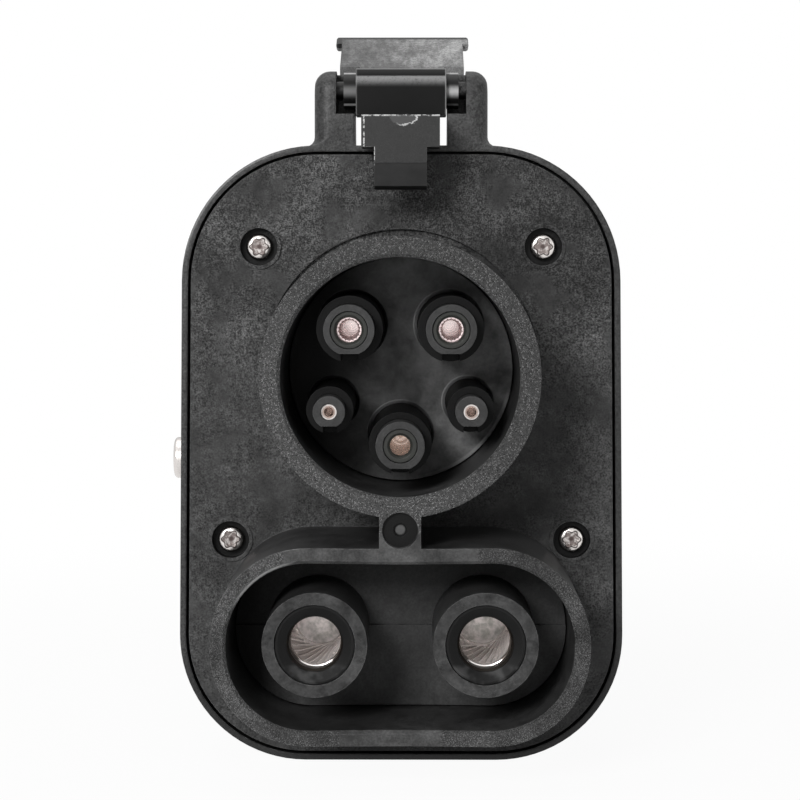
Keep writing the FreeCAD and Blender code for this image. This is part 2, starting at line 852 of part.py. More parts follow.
def nose_contacts():
    """The five contacts of the nose: name, place, tower and contact widths."""
    contacts = []
    for side, sign in (("left", -1), ("right", 1)):
        contacts.append(
            SimpleNamespace(
                name="line_socket_" + side, guard="line_guard_" + side,
                bush="line_bush_" + side, tower="line_tower_" + side,
                notch=dim.notch_width,
                across=dim.line_out * sign, up=dim.line_up,
                sleeve=dim.line_sleeve, face=dim.line_face,
                width=dim.line_body, hole=dim.line_hole,
                tail=dim.contact_tail, extra=ZERO,
            )
        )
    for name, sign in (("pilot", -1), ("proximity", 1)):
        contacts.append(
            SimpleNamespace(
                name=name + "_socket", guard=None,
                bush=name + "_bush", tower=name + "_tower",
                notch=dim.signal_notch_width,
                across=dim.signal_out * sign, up=-dim.signal_down,
                sleeve=dim.signal_sleeve, face=dim.signal_face,
                width=dim.signal_body, hole=dim.signal_hole,
                tail=dim.contact_tail, extra=ZERO,
            )
        )
    contacts.append(
        SimpleNamespace(
            name="ground_socket", guard="ground_guard",
            bush="ground_bush", tower="ground_tower",
            notch=dim.notch_width,
            across=ZERO, up=-dim.ground_down,
            sleeve=dim.ground_sleeve, face=dim.ground_face,
            width=dim.ground_body, hole=dim.ground_hole,
            tail=dim.ground_tail, extra=dim.ground_collar_extra,
        )
    )
    return contacts


def clip_notch(contact):
    """The slot through the lower side of a tower, in which the clip of its bush shows."""
    half = contact.notch / 2
    return box_outline(
        contact.across - half, contact.across + half,
        contact.up - contact.sleeve / 2 - dim.notch_bite,
        contact.up - contact.face / 2 + dim.notch_bite,
    )


def make_nose_insert():
    """The floor of the nose with a hole for each contact tower."""
    disc = dim.nose_bore / 2 - dim.insert_gap
    flange = disc + dim.insert_flange_width
    profile = [
        (ZERO, nose_floor), (disc, nose_floor), (disc, plate_back),
        (flange, plate_back), (flange, insert_back), (ZERO, insert_back),
    ]
    body = turned("nose_insert", profile)
    for contact in nose_contacts():
        hole = circle(contact.across, contact.up, contact.sleeve + dim.sleeve_gap * 2)
        cut(body, [hole], nose_floor, insert_back)
    dress_edges(
        body, "Chamfer", dim.sleeve_hole_chamfer,
        lambda edge: lies_at(edge, y=nose_floor) and edge.BoundBox.XLength < disc.value,
    )
    return body


def make_tower(contact):
    """The outer sleeve of a contact tower, which stands through the floor of the nose."""
    body = new_body(contact.tower)
    place = (contact.across, contact.up)
    bore = circle(*place, contact.width + dim.contact_gap * 2)
    add(body, [circle(*place, contact.sleeve), bore], sleeve_front, insert_back)
    cut(body, [circle(*place, contact.face + dim.bush_gap * 2)], sleeve_front, bush_seat)
    cut(body, [clip_notch(contact)], sleeve_front, sleeve_front + dim.notch_length)
    return body


def make_bush(contact):
    """The insulating bush that stands out of a tower's sleeve round its contact."""
    body = new_body(contact.bush)
    place = (contact.across, contact.up)
    bore = contact.width + dim.contact_gap * 2
    add(body, [circle(*place, contact.face), circle(*place, bore)], front, bush_seat)
    cut(body, [clip_notch(contact)], front, sleeve_front + dim.notch_length)
    return body


def make_nose_contact(contact):
    """A turned contact: hollow front, collar behind the insert and a thin tail."""
    guarded = contact.guard is not None
    tip = front + dim.guard_recess
    mouth = tip + dim.guard_length if guarded else tip
    radius, hole = contact.width / 2, contact.hole / 2
    collar = radius + dim.collar_step
    collar_end = collar_back + contact.extra
    tail = contact.tail / 2
    tail_end = collar_end + dim.contact_tail_length
    profile = [
        (hole, mouth), (radius, mouth), (radius, insert_back),
        (collar, insert_back), (collar, collar_end),
        (tail, collar_end), (tail, tail_end), (ZERO, tail_end),
        (ZERO, mouth + dim.contact_hole_depth), (hole, mouth + dim.contact_hole_depth),
    ]
    turned(contact.name, profile, contact.across, contact.up)
    if guarded:
        chamfer = dim.guard_recess
        guard = [
            (hole, tip + chamfer), (hole + chamfer, tip), (radius, tip),
            (radius, mouth), (hole, mouth),
        ]
        turned(contact.guard, guard, contact.across, contact.up)


def make_dc_insert():
    """The floor of the DC shroud with its two contact towers."""
    body = new_body("dc_insert")
    add(body, [shroud_section(dim.shroud_wall + dim.insert_gap)], shroud_floor, plate_back)
    flange = dim.shroud_wall + dim.insert_gap - dim.insert_flange_width
    add(body, [shroud_section(flange)], plate_back, insert_back)
    half = dim.shroud_width / 2
    step = box_outline(-half, half, dc_up, dim.shroud_height / 2 - dim.shroud_drop)
    cut(body, [step], shroud_floor, shroud_floor + dim.floor_step)
    for sign in (-1, 1):
        place = (dc_out * sign, dc_up)
        add(body, [circle(*place, dim.dc_sleeve)], shroud_floor + dim.floor_step, front)
        cut(body, [circle(*place, dim.dc_body + dim.contact_gap * 2)], front, insert_back)
    return body


def make_dc_contact(side, sign):
    """A DC socket with its twisted contact cage and its touch guard."""
    place = (dc_out * sign, dc_up)
    tip = front + dim.guard_recess
    mouth = tip + dim.dc_guard_length
    radius, hole = dim.dc_body / 2, dim.dc_hole / 2
    cage_start = mouth + dim.dc_rim_chamfer + dim.dc_lip
    cage_end = cage_start + dim.cage_length
    collar_end = insert_back + dim.dc_collar_length
    bar_end = collar_end + dim.bar_thickness
    tail_end = bar_end + dim.dc_rivet_stand
    pocket = dim.cage_width / 2
    profile = [
        (hole + dim.dc_rim_chamfer, mouth), (radius, mouth), (radius, insert_back),
        (dim.dc_collar / 2, insert_back), (dim.dc_collar / 2, collar_end),
        (dim.dc_tail / 2, collar_end), (dim.dc_tail / 2, tail_end), (ZERO, tail_end),
        (ZERO, cage_end), (pocket, cage_end), (pocket, cage_start),
        (hole, cage_start), (hole, mouth + dim.dc_rim_chamfer),
    ]
    turned("dc_socket_" + side, profile, *place)
    guard_hole = dim.dc_guard_hole / 2
    guard = [
        (guard_hole, tip + dim.dc_guard_sink), (radius - dim.dc_guard_land, tip),
        (radius, tip), (radius, mouth), (guard_hole, mouth),
    ]
    turned("dc_guard_" + side, guard, *place)
    make_cage("dc_lamella_" + side, place, cage_start, cage_end)


def make_cage(name, place, start, stop):
    """Two thin rings joined by straight strips that lean, so that the middle is narrower."""
    outer = dim.cage_width / 2 - dim.contact_gap / 2
    inner = outer - dim.cage_ring_wall
    ring = dim.cage_ring
    body = turned(
        name,
        [(inner, start), (outer, start), (outer, start + ring), (inner, start + ring)],
        *place,
    )
    add(body, [circle(ZERO, ZERO, outer * 2), circle(ZERO, ZERO, inner * 2)], stop - ring, stop)
    waist = dim.cage_waist / 2
    strip_end = outer - dim.cage_strip
    half_twist = root(strip_end * strip_end - waist * waist) - dim.cage_strip_width / 2
    half_span = (stop - start) / 2 - ring / 2
    strip = body.newObject("PartDesign::AdditiveBox", "Strip")
    strip.setExpression("Length", dim.cage_strip.text)
    strip.setExpression("Height", dim.cage_strip_width.text)
    strip_length = root(half_span * half_span + half_twist * half_twist) * 2
    strip.setExpression("Width", strip_length.text)
    lean = slope(half_twist, half_span)
    turn = FreeCAD.Rotation(FreeCAD.Vector(1, 0, 0), lean.value)
    centre = FreeCAD.Vector(waist.value, (start.value + stop.value) / 2, 0)
    half_box = FreeCAD.Vector(0, strip_length.value / 2, dim.cage_strip_width.value / 2)
    corner = centre - turn.multVec(half_box)
    strip.Placement = FreeCAD.Placement(corner, turn)
    doc.recompute()
    repeat_around(body, strip, CAGE_STRIPS)
    return body


def make_face_gasket():
    """The flat seal between the face plate and the ledge of the shell."""
    body = new_body("face_gasket")
    outside = body_section(dim.shell_rim + dim.plate_seam)
    inside = body_section(dim.shell_rim + dim.plate_seam + dim.gasket_width)
    add(body, [outside, inside], plate_back, ledge)
    return body


def make_screw(name, across, up, head_front, head, head_height, length):
    """A round-head screw with a six-lobe recess."""
    head_back = head_front + head_height
    rounding = head_height * dim.head_rounding_share
    profile = [
        (ZERO, head_front), (head / 2, head_front, rounding), (head / 2, head_back),
        (dim.screw_shank / 2, head_back), (dim.screw_shank / 2, head_back + length),
        (ZERO, head_back + length),
    ]
    body = turned(name, profile, across, up)
    recess_end = head_front + dim.screw_lobe_depth
    cut(body, [circle(ZERO, ZERO, dim.screw_lobe_circle)], head_front, recess_end)
    lobe = cut(
        body, [circle(dim.screw_lobe_circle / 2, ZERO, dim.screw_lobe)], head_front, recess_end
    )
    doc.recompute()
    repeat_around(body, lobe, SCREW_LOBES)
    return body


def make_latch_lever():
    """One moulding: hook, forward arm, hub, rear arm and thumb tab."""
    body = new_body("latch_lever")
    face = -dim.block_front_gap
    half_block = dim.block_width / 2
    block_top = body_top + dim.block_rise
    arm_top_back = body_top + dim.arm_back_rise
    rear_arm_top = body_top + dim.rear_arm_rise
    end, pad_top = dim.pad_end, body_top + dim.pad_rise
    under_end, under_top = end - dim.pad_slant_run, pad_top - dim.pad_slant_drop
    lever = outline(
        (face, block_top, dim.block_round),
        (face, arm_top_back),
        (dim.block_back, arm_top_back, dim.latch_fillet),
        (dim.block_back + dim.arm_curve, rear_arm_under, dim.arm_curve),
        (dim.pad_start, rear_arm_under, dim.rear_arm_curve),
        (under_end, under_top, dim.latch_fillet),
        (end, pad_top, dim.latch_fillet),
        (dim.pad_start, rear_arm_top, dim.rear_arm_curve),
        (dim.block_back, block_top, dim.rear_arm_curve),
    )
    add(body, [lever], -half_block, half_block, role="YZ_Plane")
    half_pad = dim.pad_width / 2
    slope_up = (pad_top - rear_arm_top) / (dim.pad_end - dim.pad_start)
    wide_start = dim.pad_start + dim.pad_width_start
    wide_up = rear_arm_top + slope_up * dim.pad_width_start
    pad_section = outline(
        (end, pad_top, dim.latch_fillet),
        (wide_start, wide_up),
        (wide_start, wide_up - dim.pad_thickness),
        (under_end, under_top, dim.latch_fillet),
    )
    add(body, [pad_section], -half_pad, half_pad, role="YZ_Plane")
    lip_start = end - dim.pad_lip_length
    lip_up = pad_top - slope_up * dim.pad_lip_length
    half_lip = dim.pad_lip_width / 2
    lip_section = outline(
        (end, pad_top, dim.latch_fillet),
        (lip_start, lip_up),
        (lip_start + dim.pad_lip_under_run, lip_up - dim.pad_lip_under_drop),
        (under_end, under_top, dim.latch_fillet),
    )
    add(body, [lip_section], -half_lip, half_lip, role="YZ_Plane")
    dress_edges(
        body, "Fillet", dim.pad_lip_round,
        lambda edge: on_side(edge, half_lip),
    )
    reach = -dim.arm_reach
    half_arm = dim.arm_width / 2
    arm_bottom = body_top - dim.arm_under_drop
    inside_block = arm_top_back + dim.latch_fillet
    arm = outline(
        (reach, body_top + dim.arm_front_rise),
        (reach, arm_bottom),
        (-dim.pivot_back, arm_bottom, dim.arm_curve),
        (dim.pivot_back, body_top + dim.arm_bend_rise, dim.latch_fillet),
        (dim.block_back - dim.latch_fillet, inside_block),
        (ZERO, inside_block),
        (face, arm_top_back),
    )
    add(body, [arm], -half_arm, half_arm, role="YZ_Plane")
    half_hook = dim.hook_width / 2
    hook_bottom = body_top - dim.hook_bottom_drop
    inside_arm = arm_bottom + dim.latch_fillet
    hook = outline(
        (reach, inside_arm),
        (reach, body_top - dim.hook_ramp_drop),
        (reach + dim.hook_ramp_run, hook_bottom),
        (reach + dim.hook_length, hook_bottom),
        (reach + dim.hook_length, inside_arm),
    )
    add(body, [hook], -half_hook, half_hook, role="YZ_Plane")
    half_hub = dim.hub_width / 2
    boss = circle(dim.pivot_back, pivot_up, dim.hub_boss)
    add(body, [boss], -half_hub, half_hub, role="YZ_Plane")
    seat = circle(ZERO, dim.spring_back, dim.spring_width + dim.spring_pocket_gap)
    add(body, [seat], spring_seat_up, rear_arm_under + dim.latch_fillet, role="XY_Plane")
    peg_width = dim.spring_width - dim.spring_wire * 2 - dim.spring_pocket_gap
    peg = circle(ZERO, dim.spring_back, peg_width)
    add(body, [peg], spring_seat_up, spring_seat_up - dim.spring_peg_height, role="XY_Plane")
    hole = circle(dim.pivot_back, pivot_up, dim.latch_pin_width + dim.pin_running_gap * 2)
    cut(body, [hole], -half_hub, half_hub, role="YZ_Plane")
    return body


def make_latch_pin():
    """The steel pin through both ears and the hub."""
    body = new_body("latch_pin")
    half = dim.ear_outside / 2 - dim.pin_end_recess
    pin = circle(dim.pivot_back, pivot_up, dim.latch_pin_width)
    add(body, [pin], -half, half, role="YZ_Plane")
    return body


def make_latch_spring():
    """The compression spring between the shell and the rear arm."""
    wire = dim.spring_wire.value / 2
    gap = dim.spring_seat_gap.value / 2
    foot = body_top.value - dim.spring_pocket.value + gap + wire
    head = spring_seat_up.value - gap - wire
    radius = (dim.spring_width.value / 2 - wire) / math.cos(math.pi / SPRING_CORNERS)
    steps = round(dim.spring_turns.value * SPRING_CORNERS)
    route = []
    for step in range(steps + 1):
        turn = 2 * math.pi * step / SPRING_CORNERS
        across, back = radius * math.cos(turn), radius * math.sin(turn)
        level = foot + (head - foot) * step / steps
        route.append(FreeCAD.Vector(across, dim.spring_back.value + back, level))
    spring = doc.addObject("Part::Feature", "latch_spring")
    spring.Label = "latch_spring"
    spring.Shape = round_tube(route, wire)
    return spring


def make_side_stud():
    """The ringed round head on the left side, with its shank in the wall."""
    body = new_body("side_stud", y=dim.stud_back, z=-dim.stud_drop)
    sketch = sketch_on(body, "XZ_Plane")
    seat = -side_at(-dim.stud_drop - dim.stud_head / 2)
    head_out = seat - dim.stud_head_height
    crown_out = head_out + dim.stud_ring_depth
    inner = dim.stud_ring / 2
    profile = outline(
        (head_out, ZERO),
        (head_out, inner - dim.stud_crown),
        (crown_out, inner - dim.stud_crown),
        (crown_out, inner),
        (head_out, inner),
        (head_out, dim.stud_head / 2, dim.stud_crown),
        (seat, dim.stud_head / 2),
        (seat, dim.stud_shank / 2),
        (seat + dim.stud_shank_length, dim.stud_shank / 2),
        (seat + dim.stud_shank_length, ZERO),
    )
    draw_outline(sketch, profile.corners)
    feature = body.newObject("PartDesign::Revolution", "Turning")
    feature.Profile = sketch
    feature.ReferenceAxis = (sketch, ["H_Axis"])
    feature.Angle = 360
    return body


def make_inlet_body():
    """The handle-side socket: a deep cup with a floor for the pins and a screw flange."""
    body = new_body("inlet_body")
    add(body, [inlet_section(dim.inlet_wall)], inlet_floor_front, inlet_mouth)
    inner_back = dim.body_length - dim.rear_wall
    shoulder_back = inner_back - dim.gasket_thickness
    flange_back = inlet_flange_front + dim.inlet_flange_thickness
    shoulder = inlet_section(dim.inlet_wall + dim.inlet_shoulder)
    add(body, [shoulder], inlet_flange_front, shoulder_back)
    flange = neck_section(dim.shell_wall + dim.inlet_flange_gap)
    add(body, [flange], inlet_flange_front, flange_back)
    cut(body, [inlet_section(ZERO)], inlet_mouth, inlet_floor_back)
    for pin in inlet_pins():
        hole = circle(pin.across, pin.up, pin.width)
        cut(body, [hole], inlet_floor_back, inlet_floor_front)
    for name, across, up in inlet_screw_places():
        cut(body, [circle(across, up, dim.screw_hole)], inlet_flange_front, flange_back)
    return body


def inlet_pins():
    """The five pins of the handle-side socket."""
    pins = []
    for side, sign in (("left", -1), ("right", 1)):
        pins.append(
            SimpleNamespace(
                name="inlet_power_pin_" + side, tip="pin_tip_" + side,
                across=dim.power_pin_out * sign, up=inlet_up + dim.power_pin_up,
                width=dim.power_pin_width, length=dim.power_pin_length,
                collar=dim.power_collar, collar_length=dim.power_collar_length,
                tail=dim.power_tail, tail_length=dim.bar_thickness + dim.dc_rivet_stand,
            )
        )
    pins.append(
        SimpleNamespace(
            name="inlet_ground_pin", tip=None,
            across=ZERO, up=inlet_up - dim.earth_pin_down,
            width=dim.earth_pin_width, length=dim.earth_pin_length,
            collar=dim.earth_collar, collar_length=dim.power_collar_length,
            tail=dim.earth_tail, tail_length=dim.strap_thickness + dim.dc_rivet_stand,
        )
    )
    for name, sign in (("inlet_pilot_pin", -1), ("inlet_proximity_pin", 1)):
        pins.append(
            SimpleNamespace(
                name=name, tip=None,
                across=dim.small_pin_out * sign, up=inlet_up - dim.small_pin_down,
                width=dim.small_pin_width, length=dim.small_pin_length,
                collar=dim.small_collar, collar_length=dim.small_collar_length,
                tail=dim.small_tail, tail_length=dim.small_collar_length,
            )
        )
    return pins


def make_inlet_pin(pin):
    """A turned pin with its collar against the floor of the socket and a tail in front."""
    tip = inlet_floor_back + pin.length
    radius, collar, tail = pin.width / 2, pin.collar / 2, pin.tail / 2
    collar_front = inlet_floor_front - pin.collar_length
    tail_front = collar_front - pin.tail_length
    end = tip - dim.pin_tip_length if pin.tip else tip
    rounding = None if pin.tip else radius * dim.pin_rounding_share
    profile = [
        (ZERO, end), (ZERO, tail_front), (tail, tail_front), (tail, collar_front),
        (collar, collar_front), (collar, inlet_floor_front),
        (radius, inlet_floor_front), (radius, end, rounding),
    ]
    turned(pin.name, profile, pin.across, pin.up)
    if pin.tip:
        cap = [
            (ZERO, tip), (ZERO, end), (radius, end), (radius, tip, dim.pin_tip_fillet),
        ]
        turned(pin.tip, cap, pin.across, pin.up)


def make_inlet_gasket():
    """The seal between the shoulder of the socket and the rear wall."""
    body = new_body("inlet_gasket")
    inner_back = dim.body_length - dim.rear_wall
    outside = inlet_section(dim.inlet_wall + dim.inlet_shoulder)
    inside = inlet_section(dim.inlet_wall + dim.inlet_gap)
    add(body, [outside, inside], inner_back - dim.gasket_thickness, inner_back)
    return body


def make_busbar(side, sign):
    """The bar from a DC socket up and back to a power pin."""
    body = new_body("busbar_" + side)
    left, right = bar_middle * sign - dim.bar_width / 2, bar_middle * sign + dim.bar_width / 2
    thick = dim.bar_thickness
    face = insert_back + dim.dc_collar_length
    back = inlet_floor_front - dim.power_collar_length
    run = -dim.bar_run_drop
    pin_up = inlet_up + dim.power_pin_up
    bar = outline(
        (face, run + thick, thick),
        (face, dc_up - dim.bar_foot),
        (face + thick, dc_up - dim.bar_foot),
        (face + thick, run, dim.bar_inner_bend),
        (back, run, thick),
        (back, pin_up + dim.bar_foot),
        (back - thick, pin_up + dim.bar_foot),
        (back - thick, run + thick, dim.bar_inner_bend),
    )
    add(body, [bar], left, right, role="YZ_Plane")
    cut(body, [circle(dc_out * sign, dc_up, dim.dc_tail)], face, face + thick)
    tail = circle(dim.power_pin_out * sign, pin_up, dim.power_tail)
    cut(body, [tail], back, back - thick)
    return body


def make_ground_bar():
    """The strap from the ground contact back to the ground pin."""
    body = new_body("ground_bar")
    half, thick = dim.strap_width / 2, dim.strap_thickness
    face = collar_back + dim.ground_collar_extra
    back = inlet_floor_front - dim.power_collar_length
    run = -dim.strap_run_drop
    pin_up = inlet_up - dim.earth_pin_down
    strap = outline(
        (face, -dim.ground_down + dim.strap_foot),
        (face, run, thick),
        (back - thick, run, dim.strap_inner_bend),
        (back - thick, pin_up - dim.strap_foot),
        (back, pin_up - dim.strap_foot),
        (back, run + thick, thick),
        (face + thick, run + thick, dim.strap_inner_bend),
        (face + thick, -dim.ground_down + dim.strap_foot),
    )
    add(body, [strap], -half, half, role="YZ_Plane")
    cut(body, [circle(ZERO, -dim.ground_down, dim.ground_tail)], face, face + thick)
    cut(body, [circle(ZERO, pin_up, dim.earth_tail)], back, back - thick)
    return body


def make_circuit_board():
    """The board that sits on the collars of the nose contacts."""
    body = new_body("circuit_board")
    board = box_outline(
        -dim.board_half_width, dim.board_half_width,
        -dim.board_bottom, dim.board_top, dim.board_corner,
    )
    board_back = collar_back + dim.board_thickness
    add(body, [board], collar_back, board_back)
    for contact in nose_contacts():
        if contact.extra is ZERO:
            width = contact.tail + dim.board_hole_gap * 2
        else:
            width = contact.width + dim.collar_step * 2 + dim.board_hole_gap * 2
        cut(body, [circle(contact.across, contact.up, width)], collar_back, board_back)
    return body


def make_sensor(side, sign):
    """The temperature bead that sits on top of a busbar."""
    body = new_body("temperature_sensor_" + side)
    middle = bar_middle * sign
    half = dim.sensor_width / 2
    level = dim.bar_thickness - dim.bar_run_drop
    bead = box_outline(
        middle - half, middle + half, level, level + dim.sensor_height
    )
    add(body, [bead], dim.sensor_back, dim.sensor_back + dim.sensor_length)
    return body


def make_lead(name, sign):
    """A signal lead from the back of the board to a signal pin."""
    board_back = collar_back.value + dim.board_thickness.value
    pin_up = inlet_up.value - dim.small_pin_down.value
    tail_front = inlet_floor_front.value - dim.small_collar_length.value * 2
    out, low = dim.lead_out.value * sign, -dim.lead_low.value
    drop = board_back + dim.lead_bend.value
    route = [
        FreeCAD.Vector(out, board_back, -dim.board_bottom.value + dim.board_corner.value),
        FreeCAD.Vector(out, drop, -dim.board_bottom.value + dim.board_corner.value),
        FreeCAD.Vector(out, drop, low),
        FreeCAD.Vector(out, dim.lead_back.value, low),
        FreeCAD.Vector(dim.small_pin_out.value * sign, tail_front - dim.lead_bend.value, pin_up),
        FreeCAD.Vector(dim.small_pin_out.value * sign, tail_front, pin_up),
    ]
    lead = doc.addObject("Part::Feature", name)
    lead.Label = name
    lead.Shape = round_tube(route, dim.lead_width.value / 2)
    return lead


def round_tube(route, radius):
    """A tube along straight runs joined by tangent arcs."""
    edges, start = [], route[0]
    for before, corner, after in zip(route, route[1:], route[2:]):
        turn = (corner - before).getAngle(after - corner)
        shorter = min((corner - before).Length, (after - corner).Length)
        bend = BEND_SHARE * shorter / math.tan(turn / 2)
        arriving, leaving, centre = corner_arc(before, corner, after, bend)[:3]
        middle = centre + (corner - centre).normalize() * bend
        edges.append(Part.LineSegment(start, arriving).toShape())
        edges.append(Part.Arc(arriving, middle, leaving).toShape())
        start = leaving
    edges.append(Part.LineSegment(start, route[-1]).toShape())
    path = Part.Wire(edges)
    along = route[1] - route[0]
    section = Part.Wire(Part.makeCircle(radius, route[0], along))
    return path.makePipeShell([section], True, True)


def check_and_export():
    """Stop on any failed feature or bad shape, then write one STEP file for each sub-part."""
    doc.recompute()
    for item in doc.Objects:
        if "Invalid" in item.State or "Error" in item.State:
            raise RuntimeError("%s (%s) failed: %s" % (item.Name, item.Label, item.State))
    pieces = [
        item for item in doc.Objects
        if item.TypeId in ("PartDesign::Body", "Part::Feature")
    ]
    for piece in pieces:
        shape = piece.Shape
        if shape.isNull() or not shape.isValid() or shape.Volume <= 0:
            raise RuntimeError("%s has no valid solid" % piece.Label)
    os.makedirs("parts", exist_ok=True)
    for piece in pieces:
        piece.Shape.exportStep(os.path.join("parts", piece.Label + ".step"))
        print("%-28s %d solid, %.1f mm3" % (piece.Label, len(piece.Shape.Solids), piece.Shape.Volume))


def main():
    """Build every sub-part and write it out."""
    make_rear_shell()
    make_face_plate()
    make_face_gasket()
    make_nose_insert()
    for contact in nose_contacts():
        make_tower(contact)
        make_bush(contact)
        make_nose_contact(contact)
    make_dc_insert()
    for side, sign in (("left", -1), ("right", 1)):
        make_dc_contact(side, sign)
        make_busbar(side, sign)
        make_sensor(side, sign)
    make_ground_bar()
    make_circuit_board()
    make_lead("pilot_lead", -1)
    make_lead("proximity_lead", 1)
    seat = dim.seat_depth - dim.screw_head_height
    for name, across, up in plate_screw_places():
        make_screw(
            "plate_screw_" + name, across, up, seat,
            dim.screw_head, dim.screw_head_height, dim.screw_length,
        )
    for name, across, up in inlet_screw_places():
        make_screw(
            "inlet_screw_" + name, across, up,
            inlet_flange_front - dim.inlet_screw_head_height,
            dim.inlet_screw_head, dim.inlet_screw_head_height, dim.inlet_screw_length,
        )
    make_inlet_body()
    make_inlet_gasket()
    for pin in inlet_pins():
        make_inlet_pin(pin)
    make_latch_lever()
    make_latch_pin()
    make_latch_spring()
    make_side_stud()
    check_and_export()


main()
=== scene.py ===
from math import cos, pi, radians, sin, tau

import bmesh
import bpy
from bpy.props import FloatProperty, FloatVectorProperty, IntProperty, PointerProperty
from mathutils import Euler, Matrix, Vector


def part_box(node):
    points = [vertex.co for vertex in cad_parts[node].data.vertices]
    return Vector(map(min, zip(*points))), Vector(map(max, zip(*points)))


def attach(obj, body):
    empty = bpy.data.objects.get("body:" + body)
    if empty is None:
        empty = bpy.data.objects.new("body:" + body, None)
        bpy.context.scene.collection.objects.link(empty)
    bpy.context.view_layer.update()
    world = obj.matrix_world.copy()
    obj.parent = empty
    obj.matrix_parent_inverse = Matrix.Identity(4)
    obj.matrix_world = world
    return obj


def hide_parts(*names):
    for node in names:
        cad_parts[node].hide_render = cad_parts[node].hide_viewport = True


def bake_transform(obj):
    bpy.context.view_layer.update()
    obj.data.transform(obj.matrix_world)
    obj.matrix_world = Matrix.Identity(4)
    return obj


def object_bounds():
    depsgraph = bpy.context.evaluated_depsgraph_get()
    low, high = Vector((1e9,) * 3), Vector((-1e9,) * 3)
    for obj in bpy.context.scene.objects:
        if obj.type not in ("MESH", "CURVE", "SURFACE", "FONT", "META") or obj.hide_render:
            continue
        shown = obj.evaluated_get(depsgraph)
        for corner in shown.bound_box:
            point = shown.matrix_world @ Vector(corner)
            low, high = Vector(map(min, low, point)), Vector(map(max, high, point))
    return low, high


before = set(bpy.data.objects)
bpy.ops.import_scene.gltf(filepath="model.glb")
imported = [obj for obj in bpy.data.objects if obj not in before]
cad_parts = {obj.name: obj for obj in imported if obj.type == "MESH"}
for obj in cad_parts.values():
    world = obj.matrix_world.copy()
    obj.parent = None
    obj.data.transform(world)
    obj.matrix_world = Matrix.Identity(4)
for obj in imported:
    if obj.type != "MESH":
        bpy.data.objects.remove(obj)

CAD_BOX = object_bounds()

bl_info = {
    "name": "Charging adapter dressing",
    "version": (1, 0, 0),
    "blender": (4, 5, 0),
    "location": "3D View > Sidebar > Adapter",
    "description": "Gives the packed charging adapter its finishes, fine pieces and studio stage",
    "category": "Object",
}

MM = 0.001
BODY = "adapter_body"
SIDES = ("left", "right")
ENDS = ("upper", "lower")

# Places on the part in millimetres. An axis runs front to back, and its two numbers are its
# place across and up.
DC_AXES = {"left": (-13.3, -41.6), "right": (13.3, -41.6)}
LINE_AXES = {"left": (-7.9, 7.3), "right": (7.9, 7.3)}
GROUND_AXIS = (0.0, -10.6)
SIGNAL_AXES = ((-11.0, -5.35), (11.0, -5.35))
TOWER_HOLES = [(axis, 5.25) for axis in LINE_AXES.values()]
TOWER_HOLES += [(GROUND_AXIS, 4.95)] + [(axis, 3.75) for axis in SIGNAL_AXES]
RIB_MARK = (0.0, -23.7)

# The upper left corner of the shroud's mouth is an arc of this middle and radius.
MOUTH_CORNER = (-14.4, -41.5)
MOUTH_RADIUS = 12.9

# Heights half-way up the shroud and half-way between the upper and the lower plate screws.
SHROUD_MIDDLE = -42.0
SCREWS_MIDDLE = -4.35

# How far forward the nose and shroud and the hook reach.
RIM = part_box("face_plate")[0].y / MM
HOOK_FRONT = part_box("latch_lever")[0].y / MM

# The camera's place in metres and its turns.
EYE_PLACE = (0.0020399, -0.3626366, 0.0217345)
EYE_TILT = pi / 2 - 0.0564
EYE_TURN = 0.0061

FLAT = (1.0, 0.0, 1.0)
BEVEL_RAYS = 4


def grey(level):
    """A neutral colour from an sRGB level out of 255."""
    return shade(level, level, level)


def shade(red, green, blue):
    """A linear colour from sRGB levels out of 255."""
    def linear(level):
        part = level / 255
        return part / 12.92 if part <= 0.04045 else ((part + 0.055) / 1.055) ** 2.4
    return (linear(red), linear(green), linear(blue), 1.0)


def on_axis(axis):
    """The point of an axis that is level with the front of the face plate."""
    return (axis[0], 0.0, axis[1])


